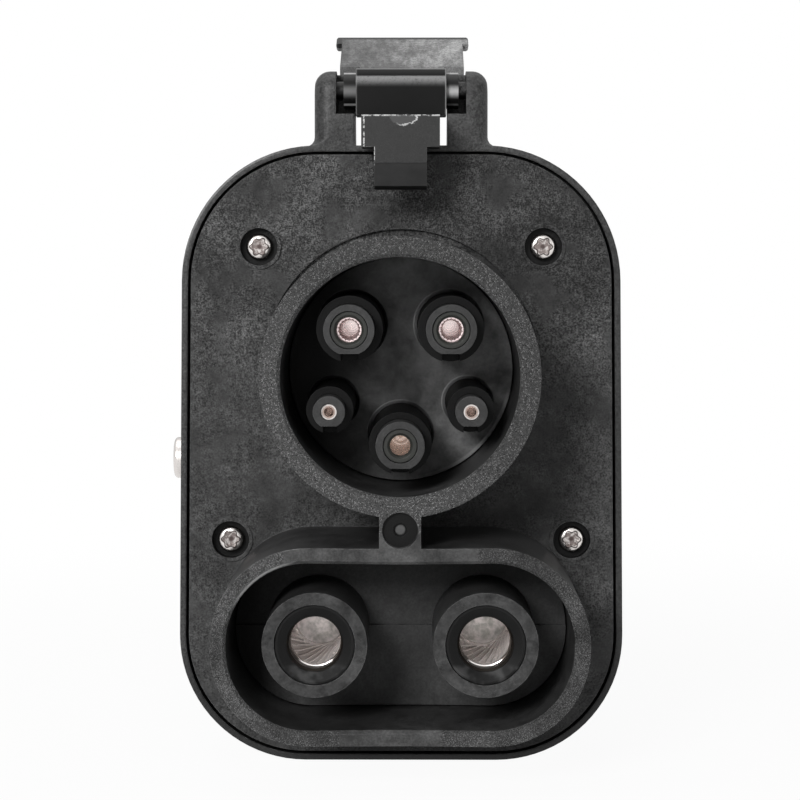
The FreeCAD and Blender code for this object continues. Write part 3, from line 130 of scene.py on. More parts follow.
class Board:
    """A node tree, with short calls for the nodes that the finishes use."""

    def __init__(self, tree):
        self.tree = tree

    def add(self, kind, feeds=None, **settings):
        node = self.tree.nodes.new("ShaderNode" + kind)
        for name, value in settings.items():
            setattr(node, name, value)
        for socket, value in (feeds or {}).items():
            self.feed(node.inputs[socket], value)
        return node

    def feed(self, socket, value):
        if isinstance(value, bpy.types.NodeSocket):
            self.tree.links.new(value, socket)
        else:
            socket.default_value = value

    def math(self, operation, first, second=0.0, clamp=False):
        node = self.add("Math", {0: first, 1: second}, operation=operation, use_clamp=clamp)
        return node.outputs[0]

    def chain(self, operation, values):
        total = values[0]
        for value in values[1:]:
            total = self.math(operation, total, value)
        return total

    def times(self, *values):
        return self.chain("MULTIPLY", values)

    def plus(self, *values):
        return self.chain("ADD", values)

    def most(self, *values):
        return self.chain("MAXIMUM", values)

    def minus(self, first, second):
        return self.math("SUBTRACT", first, second)

    def over(self, first, second):
        return self.math("DIVIDE", first, second)

    def apart(self, value, level=0.0):
        """How far value is from level, on either side."""
        return self.math("ABSOLUTE", self.minus(value, level))

    def span(self, value, low, high, at_low=0.0, at_high=1.0):
        """value spread smoothly from at_low to at_high between low and high."""
        node = self.add("MapRange", {"Value": value, "From Min": low, "From Max": high,
                                     "To Min": at_low, "To Max": at_high},
                        interpolation_type="SMOOTHSTEP")
        return node.outputs[0]

    def mix(self, share, first, second):
        return self.add("Mix", {0: share, 2: first, 3: second}).outputs[0]

    def blend(self, share, first, second):
        node = self.add("Mix", {0: share, 6: first, 7: second}, data_type="RGBA")
        return node.outputs[2]

    def layers(self, base, *coats):
        """A colour with others laid over it in order, each by its own share."""
        for share, colour in coats:
            base = self.blend(share, base, colour)
        return base

    def tint(self, colour, factor):
        """A colour made lighter or darker by a factor that changes over the surface."""
        return self.vector("SCALE", colour[:3], Scale=factor)

    def vector(self, operation, first, second=(0.0, 0.0, 0.0), **feeds):
        node = self.add("VectorMath", {0: first, 1: second, **feeds}, operation=operation)
        return node.outputs["Value"] if operation in ("LENGTH", "DOT_PRODUCT") else node.outputs[0]

    def around(self, place, middle, stretch=FLAT):
        """The way to place from the axis through middle, flat or stretched."""
        return self.vector("MULTIPLY", self.vector("SUBTRACT", place, middle), stretch)

    def length(self, way):
        return self.vector("LENGTH", way)

    def toward(self, way, direction):
        return self.vector("DOT_PRODUCT", way, direction)

    def noise(self, place, scale, detail=2.0, roughness=0.5, distortion=0.0):
        node = self.add("TexNoise", {"Vector": place, "Scale": scale, "Detail": detail,
                                     "Roughness": roughness, "Distortion": distortion})
        return node.outputs[0]

    def cells(self, place, scale):
        return self.add("TexVoronoi", {"Vector": place, "Scale": scale}).outputs

    def parts(self, place):
        return tuple(self.add("SeparateXYZ", {0: place}).outputs)

    def rounded(self, radius):
        """The normal over edges rounded by radius."""
        return self.add("Bevel", {"Radius": radius}, samples=BEVEL_RAYS).outputs[0]

    def group(self, name, **feeds):
        """A shared shader group, which is made when it is first asked for."""
        tree = bpy.data.node_groups.get(name) or SHARED_GROUPS[name](name)
        node = self.add("Group", node_tree=tree)
        for label, value in feeds.items():
            self.feed(node.inputs[label], value)
        return node.outputs

    def smudges(self, place, size, contrast):
        return self.group("Soft smudges", Place=place, Size=size, Contrast=contrast)["Factor"]

    def grain(self, place, size):
        return self.group("Moulded grain", Place=place, Size=size)

    def rubbed(self, place, width):
        return self.group("Rubbed edges", Place=place, Width=width)["Mask"]

    def scratches(self, place, length):
        return self.group("Hair scratches", Place=place, Length=length)["Mask"]


def start_group(name, inputs, outputs):
    """A new shader group: its board, its inputs and the node that its outputs go to."""
    tree = bpy.data.node_groups.new(name, "ShaderNodeTree")
    tree.interface.new_socket("Place", in_out="INPUT", socket_type="NodeSocketVector")
    for label, default in inputs.items():
        socket = tree.interface.new_socket(label, in_out="INPUT", socket_type="NodeSocketFloat")
        socket.default_value = default
    for label in outputs:
        tree.interface.new_socket(label, in_out="OUTPUT", socket_type="NodeSocketFloat")
    entry = tree.nodes.new("NodeGroupInput")
    leave = tree.nodes.new("NodeGroupOutput")
    return Board(tree), entry.outputs, leave.inputs


def make_grain_group(name):
    """Fine moulded texture: a height, a tone about zero and the specks that catch the light."""
    board, into, out = start_group(name, {"Size": 0.25}, ("Height", "Tone", "Specks"))
    scale = board.over(1.0, into["Size"])
    fine = board.noise(into["Place"], scale, 2.0, 0.6)
    broad = board.noise(into["Place"], board.times(scale, 0.35), 2.0, 0.6)
    specks = board.noise(into["Place"], board.times(scale, 1.7), 1.0, 0.5)
    board.feed(out["Height"], board.plus(fine, board.times(broad, 0.8)))
    board.feed(out["Tone"], board.plus(board.times(board.minus(fine, 0.5), 2.2),
                                       board.times(board.minus(broad, 0.5), 1.4)))
    board.feed(out["Specks"], board.span(specks, 0.58, 0.72))
    return board.tree


def make_sand_group(name):
    """Coarse sandy texture with light and dark grains."""
    board, into, out = start_group(name, {"Size": 0.34}, ("Height", "Light", "Dark"))
    scale = board.over(1.0, into["Size"])
    grains = board.cells(into["Place"], scale)
    pick = board.parts(grains["Color"])
    fleck = board.noise(into["Place"], board.times(scale, 1.3), 2.0, 0.7)
    board.feed(out["Height"], board.minus(fleck, grains["Distance"]))
    board.feed(out["Light"], board.times(board.span(pick[0], 0.45, 1.0),
                                         board.span(fleck, 0.42, 0.66)))
    board.feed(out["Dark"], board.times(board.span(pick[1], 0.5, 1.0),
                                        board.span(fleck, 0.58, 0.36)))
    return board.tree


def make_smudge_group(name):
    """Soft clouds left by handling, as a factor about one."""
    board, into, out = start_group(name, {"Size": 16.0, "Contrast": 0.3}, ("Factor",))
    scale = board.over(1.0, into["Size"])
    wide = board.noise(into["Place"], scale, 2.0, 0.55, 0.6)
    near = board.noise(into["Place"], board.times(scale, 3.4), 3.0, 0.6, 0.3)
    cloud = board.plus(board.times(board.minus(wide, 0.5), 2.6),
                       board.times(board.minus(near, 0.5), 1.5))
    board.feed(out["Factor"], board.plus(board.times(cloud, into["Contrast"]), 1.0))
    return board.tree


def make_edge_group(name):
    """Edges that handling has rubbed, broken up along their length."""
    board, into, out = start_group(name, {"Width": 0.25}, ("Mask",))
    flat = board.add("NewGeometry").outputs["Normal"]
    turn = board.toward(board.rounded(board.times(into["Width"], MM)), flat)
    broken = board.noise(into["Place"], 0.9, 3.0, 0.7)
    board.feed(out["Mask"], board.times(board.span(turn, 0.985, 0.86),
                                        board.span(broken, 0.38, 0.62)))
    return board.tree


def make_scratch_group(name):
    """Thin straight scratches in two directions."""
    board, into, out = start_group(name, {"Length": 6.0}, ("Mask",))
    total = 0.0
    for turn, share in ((0.5, 1.0), (-0.9, 0.8)):
        spun = board.add("VectorRotate", {"Vector": into["Place"], "Angle": turn},
                         rotation_type="Y_AXIS").outputs[0]
        long_way = board.over(1.0, into["Length"])
        stretched = board.add("CombineXYZ", {0: long_way, 1: 0.5, 2: 5.0}).outputs[0]
        field = board.noise(board.vector("MULTIPLY", spun, stretched), 1.0, 2.0, 0.5)
        line = board.span(board.apart(field, 0.5), 0.012, 0.0)
        total = board.plus(total, board.times(line, share))
    rare = board.noise(into["Place"], 0.12, 1.0)
    board.feed(out["Mask"], board.times(total, board.span(rare, 0.5, 0.62)))
    return board.tree


def make_turning_group(name):
    """Grooves of a turning tool round an axis that runs front to back."""
    board, into, out = start_group(name, {"Across": 0.0, "Up": 0.0, "Pitch": 0.3},
                                   ("Height", "Radius"))
    axis = board.add("CombineXYZ", {0: into["Across"], 2: into["Up"]}).outputs[0]
    radius = board.length(board.around(into["Place"], axis))
    along = board.plus(radius, board.parts(into["Place"])[1])
    wave = board.math("SINE", board.times(board.over(along, into["Pitch"]), tau))
    rough = board.noise(into["Place"], 3.0, 2.0, 0.6)
    board.feed(out["Height"], board.plus(board.times(wave, 0.5), rough))
    board.feed(out["Radius"], radius)
    return board.tree


SHARED_GROUPS = {
    "Moulded grain": make_grain_group,
    "Sandy face": make_sand_group,
    "Soft smudges": make_smudge_group,
    "Rubbed edges": make_edge_group,
    "Hair scratches": make_scratch_group,
    "Turned rings": make_turning_group,
}


def start_finish(name, metallic=0.0, specular=0.5, coat=0.0, coat_roughness=0.03):
    """A material with its board, its shader's sockets and the place on the part in
    millimetres."""
    material = bpy.data.materials.new(name)
    material.use_nodes = True
    board = Board(material.node_tree)
    sockets = material.node_tree.nodes["Principled BSDF"].inputs
    sockets["Metallic"].default_value = metallic
    sockets["Specular IOR Level"].default_value = specular
    sockets["Coat Weight"].default_value = coat
    sockets["Coat Roughness"].default_value = coat_roughness
    place = board.vector("SCALE", board.add("TexCoord").outputs["Object"], Scale=1 / MM)
    return material, board, sockets, place


def lay(board, sockets, base, roughness, relief, depth, edge=0.0):
    """Feeds the shader its colour, its roughness and a relief of depth millimetres over edges
    rounded by edge."""
    board.feed(sockets["Base Color"], base)
    board.feed(sockets["Roughness"], roughness)
    feeds = {"Height": relief, "Distance": depth * MM, "Strength": 1.0}
    if edge:
        feeds["Normal"] = board.rounded(edge * MM)
    board.feed(sockets["Normal"], board.add("Bump", feeds).outputs[0])


def plate_leather(board, x, z, shroud):
    """Where the front of the shroud is grained, apart from its bare stretches."""
    def outside(left, right, fade=0.8):
        return board.most(board.span(x, left, left - fade), board.span(x, right, right + fade))

    upper = board.span(z, SHROUD_MIDDLE - 0.5, SHROUD_MIDDLE + 0.5)
    return board.times(shroud, board.mix(upper, outside(-9.0, 6.0), outside(-17.6, 11.6)))


def plate_mouth_highlight(board, place, y):
    """The painted highlight on the rounded upper left edge of the shroud's mouth."""
    away = board.around(place, on_axis(MOUTH_CORNER))
    near = board.span(board.apart(board.length(away), MOUTH_RADIUS), 0.24, 0.1)
    lit = board.span(board.toward(away, (-0.6, 0.0, 0.8)), 11.2, 12.7)
    return board.times(board.span(y, RIM + 1.1, RIM + 0.7), near, lit)


def finish_plate(settings):
    """Black face plate: satin face with grainy patches, sandy nose, leather grained shroud,
    painted shade on walls, seats, rib mark and the upper right, and painted light and highlights
    towards the left.
    """
    material, board, sockets, place = start_finish("plate moulding", specular=0.16)
    x, y, z = board.parts(place)
    smudge = board.most(board.smudges(place, 10.0, 0.8), 0.3)
    grain = board.grain(place, 0.33)
    sand = board.group("Sandy face", Place=place, Size=0.21)
    front = board.span(y, RIM + 0.8, RIM + 0.3)
    bare = board.minus(1.0, front)
    nose_low = -24.5
    ring = board.times(front, board.span(z, nose_low, nose_low + 0.5))
    shroud = board.math("SUBTRACT", front, ring, clamp=True)
    leather = plate_leather(board, x, z, shroud)

    patch = board.times(board.span(board.noise(place, 0.11, 3.0, 0.6), 0.38, 0.54),
                        board.span(z, -8.0, 18.0, 0.4, 1.0), board.span(y, -2.0, -0.5, 0.4, 1.0))
    mottle = board.times(grain["Tone"], board.plus(0.6, board.times(patch, bare, 3.0)))
    shine = board.times(patch, grain["Specks"], bare, 2.2)
    broad = board.span(board.noise(place, 0.07, 2.0, 0.5, 0.8), 0.38, 0.6,
                       board.span(z, -12.0, 10.0, 0.95, 0.72), 1.12)
    # Painted shade: the walls of the nose and the shroud are darker, and the face is darker
    # towards the upper right.
    wall_shade = board.times(board.span(y, -0.5, -1.5), board.span(y, RIM + 0.5, RIM + 1.1))
    shade_to_right = board.span(x, 0.0, 16.0, 1.0, board.span(z, -4.0, 14.0, 1.0, 0.8))
    satin = board.tint(settings.plate_colour, board.times(
        smudge, broad, shade_to_right, board.span(wall_shade, 0.0, 1.0, 1.0, 0.72),
        board.plus(1.0, board.times(shroud, 0.45)),
        board.plus(1.0, board.most(mottle, -0.75), shine)))

    # Painted light: the sandy nose front is lighter towards the lower left and darker towards the
    # upper right.
    light_below_left = board.span(board.plus(x, z), 4.0, -16.0, 0.92, 1.16)
    sandy = board.tint(settings.ring_colour, board.times(
        light_below_left, board.plus(0.85, board.times(sand["Light"], 3.3),
                               board.times(sand["Dark"], -1.0))))
    hide_light = board.span(board.cells(place, 4.2)["Distance"], 0.62, 0.2)
    # Leather grain of the shroud front, with painted light that makes it lighter towards the left.
    hide_grain_and_light = board.tint(settings.shroud_colour, board.times(
        smudge, board.span(x, 24.0, -18.0, 0.95, 1.3),
        board.plus(0.62, board.times(hide_light, 1.5), board.times(grain["Tone"], 0.6))))
    # Rubbed edges, with a painted highlight added on the shroud's edges towards the upper left.
    lit_above_left = board.span(board.minus(z, board.times(x, 0.9)), -26.0, -12.0)
    worn_and_lit_edges = board.times(board.rubbed(place, 0.3),
                      board.plus(0.35, board.times(lit_above_left, shroud, 0.6),
                                 board.times(ring, -0.25)))
    # Painted shade: the screw seats are near black, and the sunk rib mark is dark around a lighter
    # centre spot.
    seat_shade = board.times(board.span(y, 0.2, 0.5), board.span(board.apart(x), 19.8, 20.4),
                        board.span(board.apart(z, SCREWS_MIDDLE), 19.0, 20.0))
    from_mark = board.length(board.around(place, on_axis(RIB_MARK)))
    mark_shade = board.times(board.span(from_mark, 2.85, 2.65), board.span(y, RIM + 0.05, RIM + 0.3))

    base = board.layers(
        satin, (ring, sandy), (leather, hide_grain_and_light), (worn_and_lit_edges, grey(130)),
        (board.times(plate_mouth_highlight(board, place, y), 0.8), grey(180)), (seat_shade, grey(8)),
        (mark_shade, grey(4)), (board.times(mark_shade, board.span(from_mark, 0.9, 0.6)), grey(84)))
    roughness = board.plus(0.42, board.times(ring, 0.22), board.times(smudge, 0.06),
                           board.times(grain["Tone"], 0.06))
    relief = board.plus(board.times(grain["Height"], board.plus(0.25, board.times(patch, 0.7))),
                        board.times(ring, sand["Height"], 1.1),
                        board.times(leather, hide_light, 1.2))
    lay(board, sockets, base, roughness, relief, 0.08, 0.22)
    return material


def finish_shell(settings):
    """Black body shell with a satin grain and rubbed edges, painted shade low at the front and at
    the right, and painted highlights at the upper left.
    """
    material, board, sockets, place = start_finish("shell moulding", specular=0.36)
    x, y, z = board.parts(place)
    smudge = board.smudges(place, 14.0, 0.42)
    grain = board.grain(place, 0.42)
    hairs = board.scratches(place, 9.0)
    mottled = board.times(smudge, board.plus(1.0, board.times(grain["Tone"], 2.2),
                                             grain["Specks"]))
    # Painted shade: near the front the shell is darker towards the bottom, and it is darker at the
    # right.
    under = board.span(y, 12.0, 2.0, 1.0, board.span(z, -44.0, -56.0, 1.0, 0.28))
    factor = board.times(board.most(mottled, 0.2), under, board.span(x, 20.0, 34.0, 1.0, 0.82))
    # Rubbed edges with a painted highlight added towards the upper left, and a painted glint where
    # the rounded rim faces the key lamp.
    lit_upper_left = board.times(board.span(board.minus(z, x), 34.0, 56.0), board.span(y, 3.0, 1.5))
    facing_lamp = board.toward(board.rounded(1.0 * MM), (-0.55, -0.62, 0.56))
    glint = board.times(lit_upper_left, board.span(z, 36.6, 35.4),
                        board.span(facing_lamp, 0.86, 0.95))
    base = board.layers(
        board.tint(settings.shell_colour, factor),
        (board.times(board.rubbed(place, 0.35), board.plus(0.4, board.times(lit_upper_left, 0.5))),
         grey(118)),
        (board.times(hairs, 0.16), grey(104)), (board.times(glint, 0.8), grey(168)))
    relief = board.plus(grain["Height"], board.times(hairs, -0.3))
    lay(board, sockets, base, board.plus(0.4, board.times(smudge, 0.07)), relief, 0.05, 0.5)
    return material


def finish_nose_floor(settings):
    """Floor of the nose: cloudy black with painted shade at the left, painted light towards the
    lower right and painted crescent highlights beside the contact towers.
    """
    material, board, sockets, place = start_finish("nose carrier", specular=0.08,
                                                   coat_roughness=0.42)
    x, _, z = board.parts(place)
    smudge = board.most(board.smudges(place, 7.5, 0.95), 0.15)
    grain = board.grain(place, 0.5)
    # Painted crescent highlights on the upper left of the holes around the towers, weaker at the
    # left.
    crescent_highlights = 0.0
    for axis, radius in TOWER_HOLES:
        away = board.around(place, on_axis(axis))
        beside = board.span(board.length(away), radius + 0.75, radius + 0.5)
        lit = board.span(board.toward(away, (-0.75, 0.0, 0.66)), radius * 0.25, radius)
        crescent_highlights = board.most(crescent_highlights, board.times(beside, lit))
    # Painted shade at the left and painted light towards the lower right; the coat's reflection is
    # weaker at the left as well.
    low_right = board.minus(x, board.times(z, 0.6))
    light_from_left = board.span(x, -13.5, 1.0)
    light_across_floor = board.plus(0.12, light_from_left, board.span(low_right, 4.0, 16.0, 0.0, 1.4))
    floor = board.tint(settings.insert_colour, board.times(
        smudge, light_across_floor, board.plus(1.0, board.times(grain["Tone"], 0.35))))
    # A painted highlight line along the lower right edge of the floor.
    edge_highlight = board.times(board.span(board.length(board.vector("MULTIPLY", place, FLAT)),
                                       17.6, 17.9),
                            board.span(board.minus(x, z), 20.0, 24.5))
    base = board.layers(
        floor, (board.times(crescent_highlights, board.span(x, -9.0, 0.0, 0.15, 0.95)), grey(140)),
        (board.times(edge_highlight, 0.7), grey(132)))
    board.feed(sockets["Coat Weight"], board.times(light_from_left, smudge, 0.72))
    lay(board, sockets, base, board.plus(0.34, board.times(smudge, 0.08)), grain["Height"],
        0.02, 0.25)
    return material


def finish_dc_floor(front):
    """Floor and towers of the shroud: painted shadow at the left and towards the top, towers with
    scuffed front faces.
    """
    material, board, sockets, place = start_finish("DC carrier", specular=0.02,
                                                   coat_roughness=0.46)
    x, y, z = board.parts(place)
    face = board.span(y, front + 0.9, front + 0.6)
    smudge = board.smudges(place, 6.0, 0.5)
    marks = board.smudges(place, 2.6, 0.7)
    grain = board.grain(place, 0.4)
    # Painted shadow off the tower faces: darker at the left and towards the top; the coat's
    # reflection follows it.
    wall_shadow = board.times(board.span(x, -26.0, -15.0, 0.2, 1.0),
                            board.span(z, -29.0, -37.0, 0.55, 1.0))
    level = board.mix(face, wall_shadow, board.times(marks, 1.06))
    factor = board.times(smudge, level, board.plus(1.0, board.times(grain["Tone"], 0.5)))
    base = board.layers(
        board.tint(grey(49), board.most(factor, 0.1)),
        (board.times(board.scratches(place, 3.0), face, 0.3), grey(120)),
        (board.times(board.rubbed(place, 0.2), board.plus(0.25, board.times(face, 0.55))),
         grey(116)))
    board.feed(sockets["Coat Weight"], board.times(level, 0.44))
    lay(board, sockets, base, board.plus(0.4, board.times(smudge, 0.06)), grain["Height"],
        0.04, 0.2)
    return material


def latch_block_lights(board, place, block, hub):
    """Painted highlights on the block and its hub: a grainy stripe below the block's top, lines
    along its edges, and a stripe and lines across the hub.
    """
    x, y, z = board.parts(place)
    bare = board.times(block, board.minus(1.0, hub))
    block_highlight = board.times(bare, board.span(z, 46.2, 47.9), board.span(z, 48.25, 47.95),
                       board.span(y, 3.0, 2.0))
    edge = board.times(bare, board.span(y, 2.9, 2.3), board.most(
        board.span(z, 49.2, 49.35), board.times(board.span(x, -7.2, -7.32), 0.45),
        board.span(x, 7.2, 7.32)))
    middle = board.times(board.span(z, 44.3, 45.6), board.span(z, 46.9, 45.6),
                         board.span(x, -8.0, 8.0, 0.35, 1.0))
    foot = board.times(board.span(board.apart(z, 43.5), 0.22, 0.1),
                       board.span(x, 8.0, -8.0, 0.2, 0.8))
    hub_highlight = board.times(hub, board.span(y, 3.8, 3.0),
                           board.most(middle, board.span(z, 48.45, 48.65), foot))
    return block_highlight, edge, hub_highlight


def latch_front_lines(board, place, front):
    """Bright worn lines along the top and the left of the hook's front."""
    x, _, z = board.parts(place)
    top = board.span(z, 40.7, 40.85)
    left = board.times(board.span(x, -5.66, -5.74), board.span(x, -5.98, -5.9),
                       board.span(z, 35.8, 36.2))
    stem = board.times(board.span(x, -4.02, -4.12), board.span(z, 36.0, 35.8))
    worn = board.span(board.noise(place, 1.7, 3.0, 0.75), 0.44, 0.54)
    return board.times(front, board.most(top, left, stem), worn)


def latch_chip(board, place, front):
    """A ragged chip in the top of the hook's front: its hollow and its bright rim."""
    away = board.around(place, (0.35, 0.0, 41.2), (0.78, 0.0, 1.0))
    ragged = board.times(board.minus(board.noise(place, 1.6, 3.0, 0.7), 0.5), 0.9)
    reach = board.plus(board.length(away), ragged)
    hollow = board.times(front, board.span(reach, 1.9, 1.75))
    rim = board.times(front, board.span(board.apart(reach, 1.85), 0.14, 0.04),
                      board.span(board.parts(place)[0], -0.9, 0.2))
    return hollow, rim


def finish_latch(settings):
    """Black latch lever: glossy block and hub with painted highlights, the block painted darker,
    grainy worn hook with its ramp painted lighter, and a thumb tab painted light grey as painted
    sheen.
    """
    material, board, sockets, place = start_finish("latch moulding", specular=0.1,
                                                   coat_roughness=0.42)
    x, y, z = board.parts(place)
    smudge = board.smudges(place, 6.0, 0.28)
    grain = board.grain(place, 0.26)
    ramp_top, fade = 33.2, 0.3
    arm = board.span(y, -8.0, -9.0)
    hook = board.times(arm, board.span(z, ramp_top, ramp_top + fade))
    # Painted light: the ramp is painted lighter than the rest of the lever.
    ramp = board.times(arm, board.span(z, ramp_top + fade, ramp_top))
    # Painted shadow: a near black line along the foot of the ramp.
    ramp_foot_shadow = board.times(board.span(y, -7.0, -8.0), board.span(z, 29.85, 29.7))
    front = board.span(y, HOOK_FRONT + 0.5, HOOK_FRONT + 0.1)
    # Painted shade: the block is painted darker than the rest of the lever.
    block = board.times(board.span(y, -6.0, -4.0), board.span(y, 12.0, 9.0),
                        board.span(z, 40.8, 41.4))
    hub = board.times(block, board.span(board.apart(x), 7.46, 7.5))
    # Painted sheen: the thumb tab is painted light grey and lighter towards the right, with
    # painted shade along its top edge and its left end.
    tab = board.times(board.span(y, 24.0, 30.0), board.span(z, 48.0, 50.0))
    tab_edge_shade = board.most(board.span(z, 57.75, 57.95), board.span(x, -10.7, -11.2))
    # Painted highlights on the block and its hub.
    block_highlight, block_edge_highlight, hub_highlight = latch_block_lights(board, place, block, hub)
    lines = latch_front_lines(board, place, front)
    chip, chip_rim = latch_chip(board, place, front)

    tone = board.times(grain["Tone"], board.plus(0.25, board.times(hook, 0.6),
                                                 board.times(tab, 0.9)))
    factor = board.times(smudge, board.plus(1.0, tone, board.times(hook, grain["Specks"])))
    streaks = board.noise(board.vector("MULTIPLY", place, (1.0, 0.3, 0.3)), 0.5, 3.0, 0.6)
    tab_sheen = board.tint(grey(112), board.times(factor, board.span(x, -10.0, 9.0, 0.66, 1.7),
                                                 board.span(streaks, 0.36, 0.64, 0.62, 1.35)))
    base = board.layers(
        board.tint(settings.latch_colour, factor), (ramp, board.tint(grey(62), smudge)),
        (block, board.tint(grey(14), smudge)),
        (board.times(block_highlight, board.span(grain["Tone"], -1.6, 0.2)), grey(136)),
        (board.times(block_edge_highlight, 0.75), grey(142)), (board.times(hub_highlight, 0.9), grey(186)),
        (tab, tab_sheen), (board.times(tab, tab_edge_shade), grey(34)), (ramp_foot_shadow, grey(6)),
        (board.times(chip, 0.5), grey(84)),
        (board.times(board.most(lines, chip_rim), 0.85), grey(205)),
        (board.times(board.rubbed(place, 0.2), 0.4), grey(120)))
    board.feed(sockets["Coat Weight"], board.plus(0.46, board.times(block, -0.46),
                                                  board.times(hub, 0.24)))
    roughness = board.plus(0.42, board.times(hub, -0.2), board.times(smudge, 0.05),
                           board.times(tab, 0.1))
    relief = board.plus(board.times(grain["Height"], board.plus(0.12, board.times(hook, 0.7))),
                        board.times(chip, -1.5))
    lay(board, sockets, base, roughness, relief, 0.06, 0.18)
    return material


def finish_moulding(name, colour, roughness, contrast=0.25, grain_size=0.3, depth=0.03,
                    rubbed=0.3, specular=0.32, size=9.0, scuffed_below=None):
    """Plain moulding with smudges, grain and rubbed edges, scuffed pale below a height."""
    material, board, sockets, place = start_finish(name, specular=specular)
    smudge = board.smudges(place, size, contrast)
    grain = board.grain(place, grain_size)
    factor = board.times(smudge, board.plus(1.0, board.times(grain["Tone"], 0.35),
                                            board.times(grain["Specks"], 0.25)))
    base = board.blend(board.times(board.rubbed(place, 0.2), rubbed), board.tint(colour, factor),
                       grey(98))
    if scuffed_below is not None:
        scuffs = board.times(board.span(board.noise(place, 0.4, 2.0, 0.5), 0.4, 0.66),
                             board.span(board.parts(place)[2], scuffed_below,
                                        scuffed_below - 0.8))
        base = board.blend(board.times(scuffs, 0.6), base, grey(80))
    lay(board, sockets, base, board.plus(roughness - 0.06, board.times(smudge, 0.06)),
        grain["Height"], depth, 0.15)
    return material


def finish_metal(name, colour, roughness, pitch, axis=(0.0, 0.0), stain=0.3, tarnish=None,
                 relief=0.004, deep=None, mouth=None, inner=None, metallic=1.0):
    """Turned or formed metal with tool rings, stains and scratches. deep gives a level along
    the axis and the colour beyond it, mouth a level with the colour in front of it, and inner
    a radius with the colour inside it."""
    material, board, sockets, place = start_finish(name, metallic=metallic)
    rings = board.group("Turned rings", Place=place, Across=axis[0], Up=axis[1], Pitch=pitch)
    smudge = board.smudges(place, 2.2, stain)
    back = board.parts(place)[1]
    coats = [(board.times(board.scratches(place, 2.0), 0.2), grey(235))]
    if inner:
        radius, inside = inner
        coats.append((board.span(rings["Radius"], radius + 0.06, radius - 0.06), inside))
    if deep:
        level, beyond = deep
        coats.append((board.span(back, level, level + 0.3), beyond))
    if mouth:
        level, before = mouth
        coats.append((board.span(back, level + 0.3, level), before))
    stained = board.blend(board.span(smudge, 0.8, 1.2), tarnish or colour, colour)
    lay(board, sockets, board.layers(stained, *coats),
        board.plus(roughness - 0.06, board.times(smudge, 0.06)), rings["Height"], relief)
    return material


def finish_cage(name, colour, axis, front):
    """Silver of a contact cage: clean strips, painted lighter low down, behind a ring with painted
    shade on all but its foot.
    """
    material, board, sockets, place = start_finish(name, metallic=0.62)
    _, y, z = board.parts(place)
    smudge = board.smudges(place, 1.6, 0.35)
    # Painted shade on the front ring, all around but its foot.
    ring = board.times(board.span(y, front + 1.4, front + 1.25),
                       board.span(z, axis[1] - 3.5, axis[1] - 2.9))
    base = board.layers(
        shade(226, 210, 206), (board.span(smudge, 0.75, 1.2), colour),
        # Painted light: the lower part of the cage is near white.
        (board.span(z, axis[1] + 0.5, axis[1] - 1.5), shade(255, 250, 247)),
        (ring, shade(64, 56, 50)))
    lay(board, sockets, base, board.plus(0.2, board.times(smudge, 0.06)), smudge, 0.02)
    return material


def finish_screw(name, colour, axis):
    """Bright screw head with painted shade along the edge of its six-lobe recess and in it,
    darkest at the middle, with patches of dirt inside.
    """
    material, board, sockets, place = start_finish(name, metallic=1.0)
    away = board.around(place, on_axis(axis))
    x, _, z = board.parts(away)
    reach = board.length(away)
    lobes = board.math("COSINE", board.times(board.math("ARCTAN2", z, x), 6.0))
    from_edge = board.minus(reach, board.plus(1.36, board.times(lobes, 0.19)))
    # Painted shade: a dark line along the recess edge, and the recess darker inside, with patches
    # of dirt and a darker middle.
    recess_edge_shade = board.span(board.apart(from_edge), 0.17, 0.06)
    inside = board.span(from_edge, 0.05, -0.05)
    smudge = board.smudges(place, 1.1, 0.5)
    base = board.layers(
        colour, (board.times(inside, board.span(smudge, 1.2, 0.9)), shade(142, 132, 129)),
        (board.times(inside, 0.3), shade(90, 80, 78)),
        (board.times(inside, board.span(reach, 0.6, 0.25)), shade(84, 74, 72)),
        (board.times(recess_edge_shade, 0.9), shade(52, 44, 42)))
    lay(board, sockets, base, board.plus(0.2, board.times(smudge, 0.05)), smudge, 0.02)
    return material


def finish_board(settings):
    """Green circuit board laminate with its weave and tracks."""
    material, board, sockets, place = start_finish("board laminate", coat=0.3)
    x, _, z = board.parts(place)
    weave = board.times(board.math("SINE", board.times(x, 9.0)),
                        board.math("SINE", board.times(z, 9.0)))
    lanes = board.apart(board.math("SINE", board.times(x, 1.9)))
    tracks = board.times(board.span(lanes, 0.3, 0.2),
                         board.span(board.noise(place, 0.2), 0.45, 0.5))
    lay(board, sockets, board.blend(tracks, settings.board_colour, shade(64, 122, 70)), 0.4,
        board.plus(board.times(weave, 0.2), tracks), 0.03)
    return material


def dress(names, material):
    """Gives the named nodes one material."""
    for name in names:
        mesh = bpy.data.objects[name].data
        mesh.materials.clear()
        mesh.materials.append(material)


def both(stem):
    """The names of a left and a right node."""
    return [f"{stem}_{side}" for side in SIDES]


def middle_of(node):
    """The middle of a node's box in millimetres."""
    low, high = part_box(node)
    return (low + high) / 2 / MM


def link(name, content):
    """A new object in the scene."""
    thing = bpy.data.objects.new(name, content)
    bpy.context.scene.collection.objects.link(thing)
    return thing


def new_piece(name, material, mesh, *, body=BODY, replaces=()):
    """Adds a mesh as a piece that rides on a body of the frame, or on none if it is blended."""
    mesh.materials.append(material)
    piece = link(name, mesh)
    if body:
        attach(piece, body)
    if replaces:
        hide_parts(*replaces)
    return piece


def mesh_from(build, name):
    """A smooth-shaded mesh that build fills in."""
    work = bmesh.new()
    build(work)
    bmesh.ops.recalc_face_normals(work, faces=work.faces)
    for face in work.faces:
        face.smooth = True
    mesh = bpy.data.meshes.new(name)
    work.to_mesh(mesh)
    work.free()
    mesh.set_sharp_from_angle(angle=radians(40))
    return mesh


